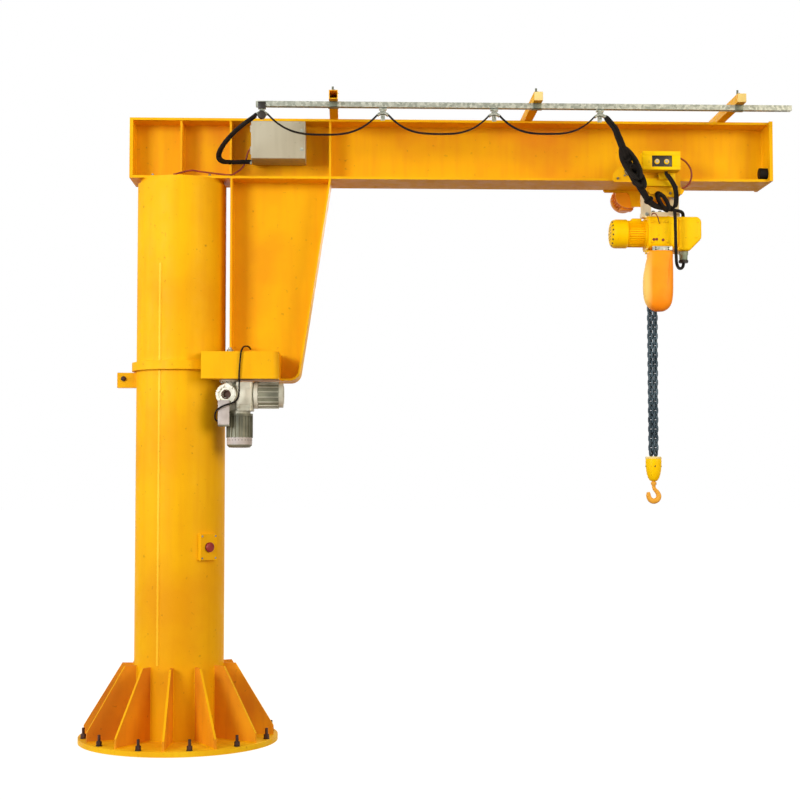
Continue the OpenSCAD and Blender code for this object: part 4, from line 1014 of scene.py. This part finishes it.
# %% Block and hook
low, high = place["hook_block"]
turned([(36.5, -4), (42.5, -4), (46.5, -10), (48.8, -10), (48.8, -0.5), (44, 2.5), (38, 2.5), (36.5, 1)],
       (CHAIN_X, 0, high.z), UP, 48)
finish_piece("block_rim", "block", "hoist_paint", look="rim_cream")
turned([(13.5, 30), (13.5, 0), (17.5, 0), (24.5, 5), (33.5, 19), (40.5, 40), (44.8, 64), (47.2, 92), (48, 118),
        (47.4, 137), (44, 144.5), (13.5, 144.5), (13.5, 30)], (CHAIN_X, 0, low.z), UP, 64)
finish_piece("block_weight", "block", "hoist_paint", "hook_block", crease=40)
for way in (FRONT, BACK, RIGHT, LEFT):
    head(Vector((CHAIN_X, 0, low.z + 90)) + Vector(way) * 46.2, way, 5, 2, 4, 3, 18)
finish_piece("block_screws", "block", "bare_steel", look="dark_steel")

BOWL_Z, BOWL_R = 1444.5, 30.5
profile = [(0, low.z + 43, 11.9), (0, low.z - 20, 11.9), (1, BOWL_Z + 52, 11.2), (8, BOWL_Z + 38, 12),
           (22, BOWL_Z + 22, 14), (BOWL_R, BOWL_Z, 15.8), (22, BOWL_Z - 21, 16.8), (0, BOWL_Z - BOWL_R, 17),
           (-21, BOWL_Z - 22, 16.2), (-BOWL_R - 1, BOWL_Z - 2, 14.8), (-BOWL_R - 2, BOWL_Z + 12, 13.2),
           (-BOWL_R - 4, BOWL_Z + 24, 9.2)]
line = smooth_path([(CHAIN_X + x, 0, z) for x, z, _ in profile], 5)
sizes = [size.x for size in smooth_path([(radius, 0, 0) for _, _, radius in profile], 5)]
sweep(line, [(a * 0.86, b) for a, b in circle(1, 20)], BACK, sizes)
turned([(0, 6), (15.5, 6), (17, 9), (17, 20), (15.5, 23), (0, 23)], (CHAIN_X, 0, low.z - 29), UP, 32)
finish_piece("hook_forging", "hook", "hoist_paint", "hook", look="hook_amber", crease=50)
print("block and hook")

# %% [markdown]
# ## Floor, backdrop and light
# A pale floor catches the shadow. Seen straight from the camera or in a reflection it also glows a little, so it
# reads as white paper without any extra light falling on the crane. A broad lamp high at the front left models the
# column, a warmer one at the right fills, two more stand at the left and behind, and the world does the rest.

# %% Floor
paper = Finish("paper")
glow = paper.add("Math", 0, {0: paper.direct("Glossy", "Transmission"), 1: 0.94}, operation="MULTIPLY")
paper.shade(Base_Color=(0.26, 0.16, 0.10, 1), Roughness=0.9, Specular_IOR_Level=0.1,
            Emission_Color=(1, 1, 1, 1), Emission_Strength=glow)
bmesh.ops.create_grid(hand, x_segments=1, y_segments=1, size=60)
put_down("floor", "paper", 1)
print("floor ready")

# %% World and lamps
world = bpy.data.worlds.new("studio")
scene.world = world
studio = Nodes(world, "Background")
seen = studio.direct("Transmission")
studio.shade(Color=studio.mix(seen, (1, 0.93, 0.84, 1), (1, 1, 1, 1)),
             Strength=studio.between(seen, 0.58, 1, 0, 1))


def lamp(name, position, target, size, power, spread=80, tint=(1, 1, 1)):
    light = bpy.data.lights.new(name, "AREA")
    light.size = size
    light.spread = radians(spread)
    light.energy = power
    light.color = tint
    holder = bpy.data.objects.new(name, light)
    holder.location = position
    holder.rotation_euler = (Vector(target) - Vector(position)).to_track_quat("-Z", "Y").to_euler()
    scene.collection.objects.link(holder)
    print("lamp", name, power, "W")


lamp("key_lamp", (-6.5, -9.5, 4.6), (1.2, 0, 3.4), 4, 182)
lamp("fill_lamp", (8.5, -7.5, 4.6), (1, 0, 3), 5, 115, tint=(1, 0.86, 0.66))
lamp("rim_lamp", (-9.5, -2.2, 3.6), (0, 0, 2.4), 3, 55)
lamp("back_lamp", (4, 9, 6), (1.5, 0, 2.2), 5, 350, 180)
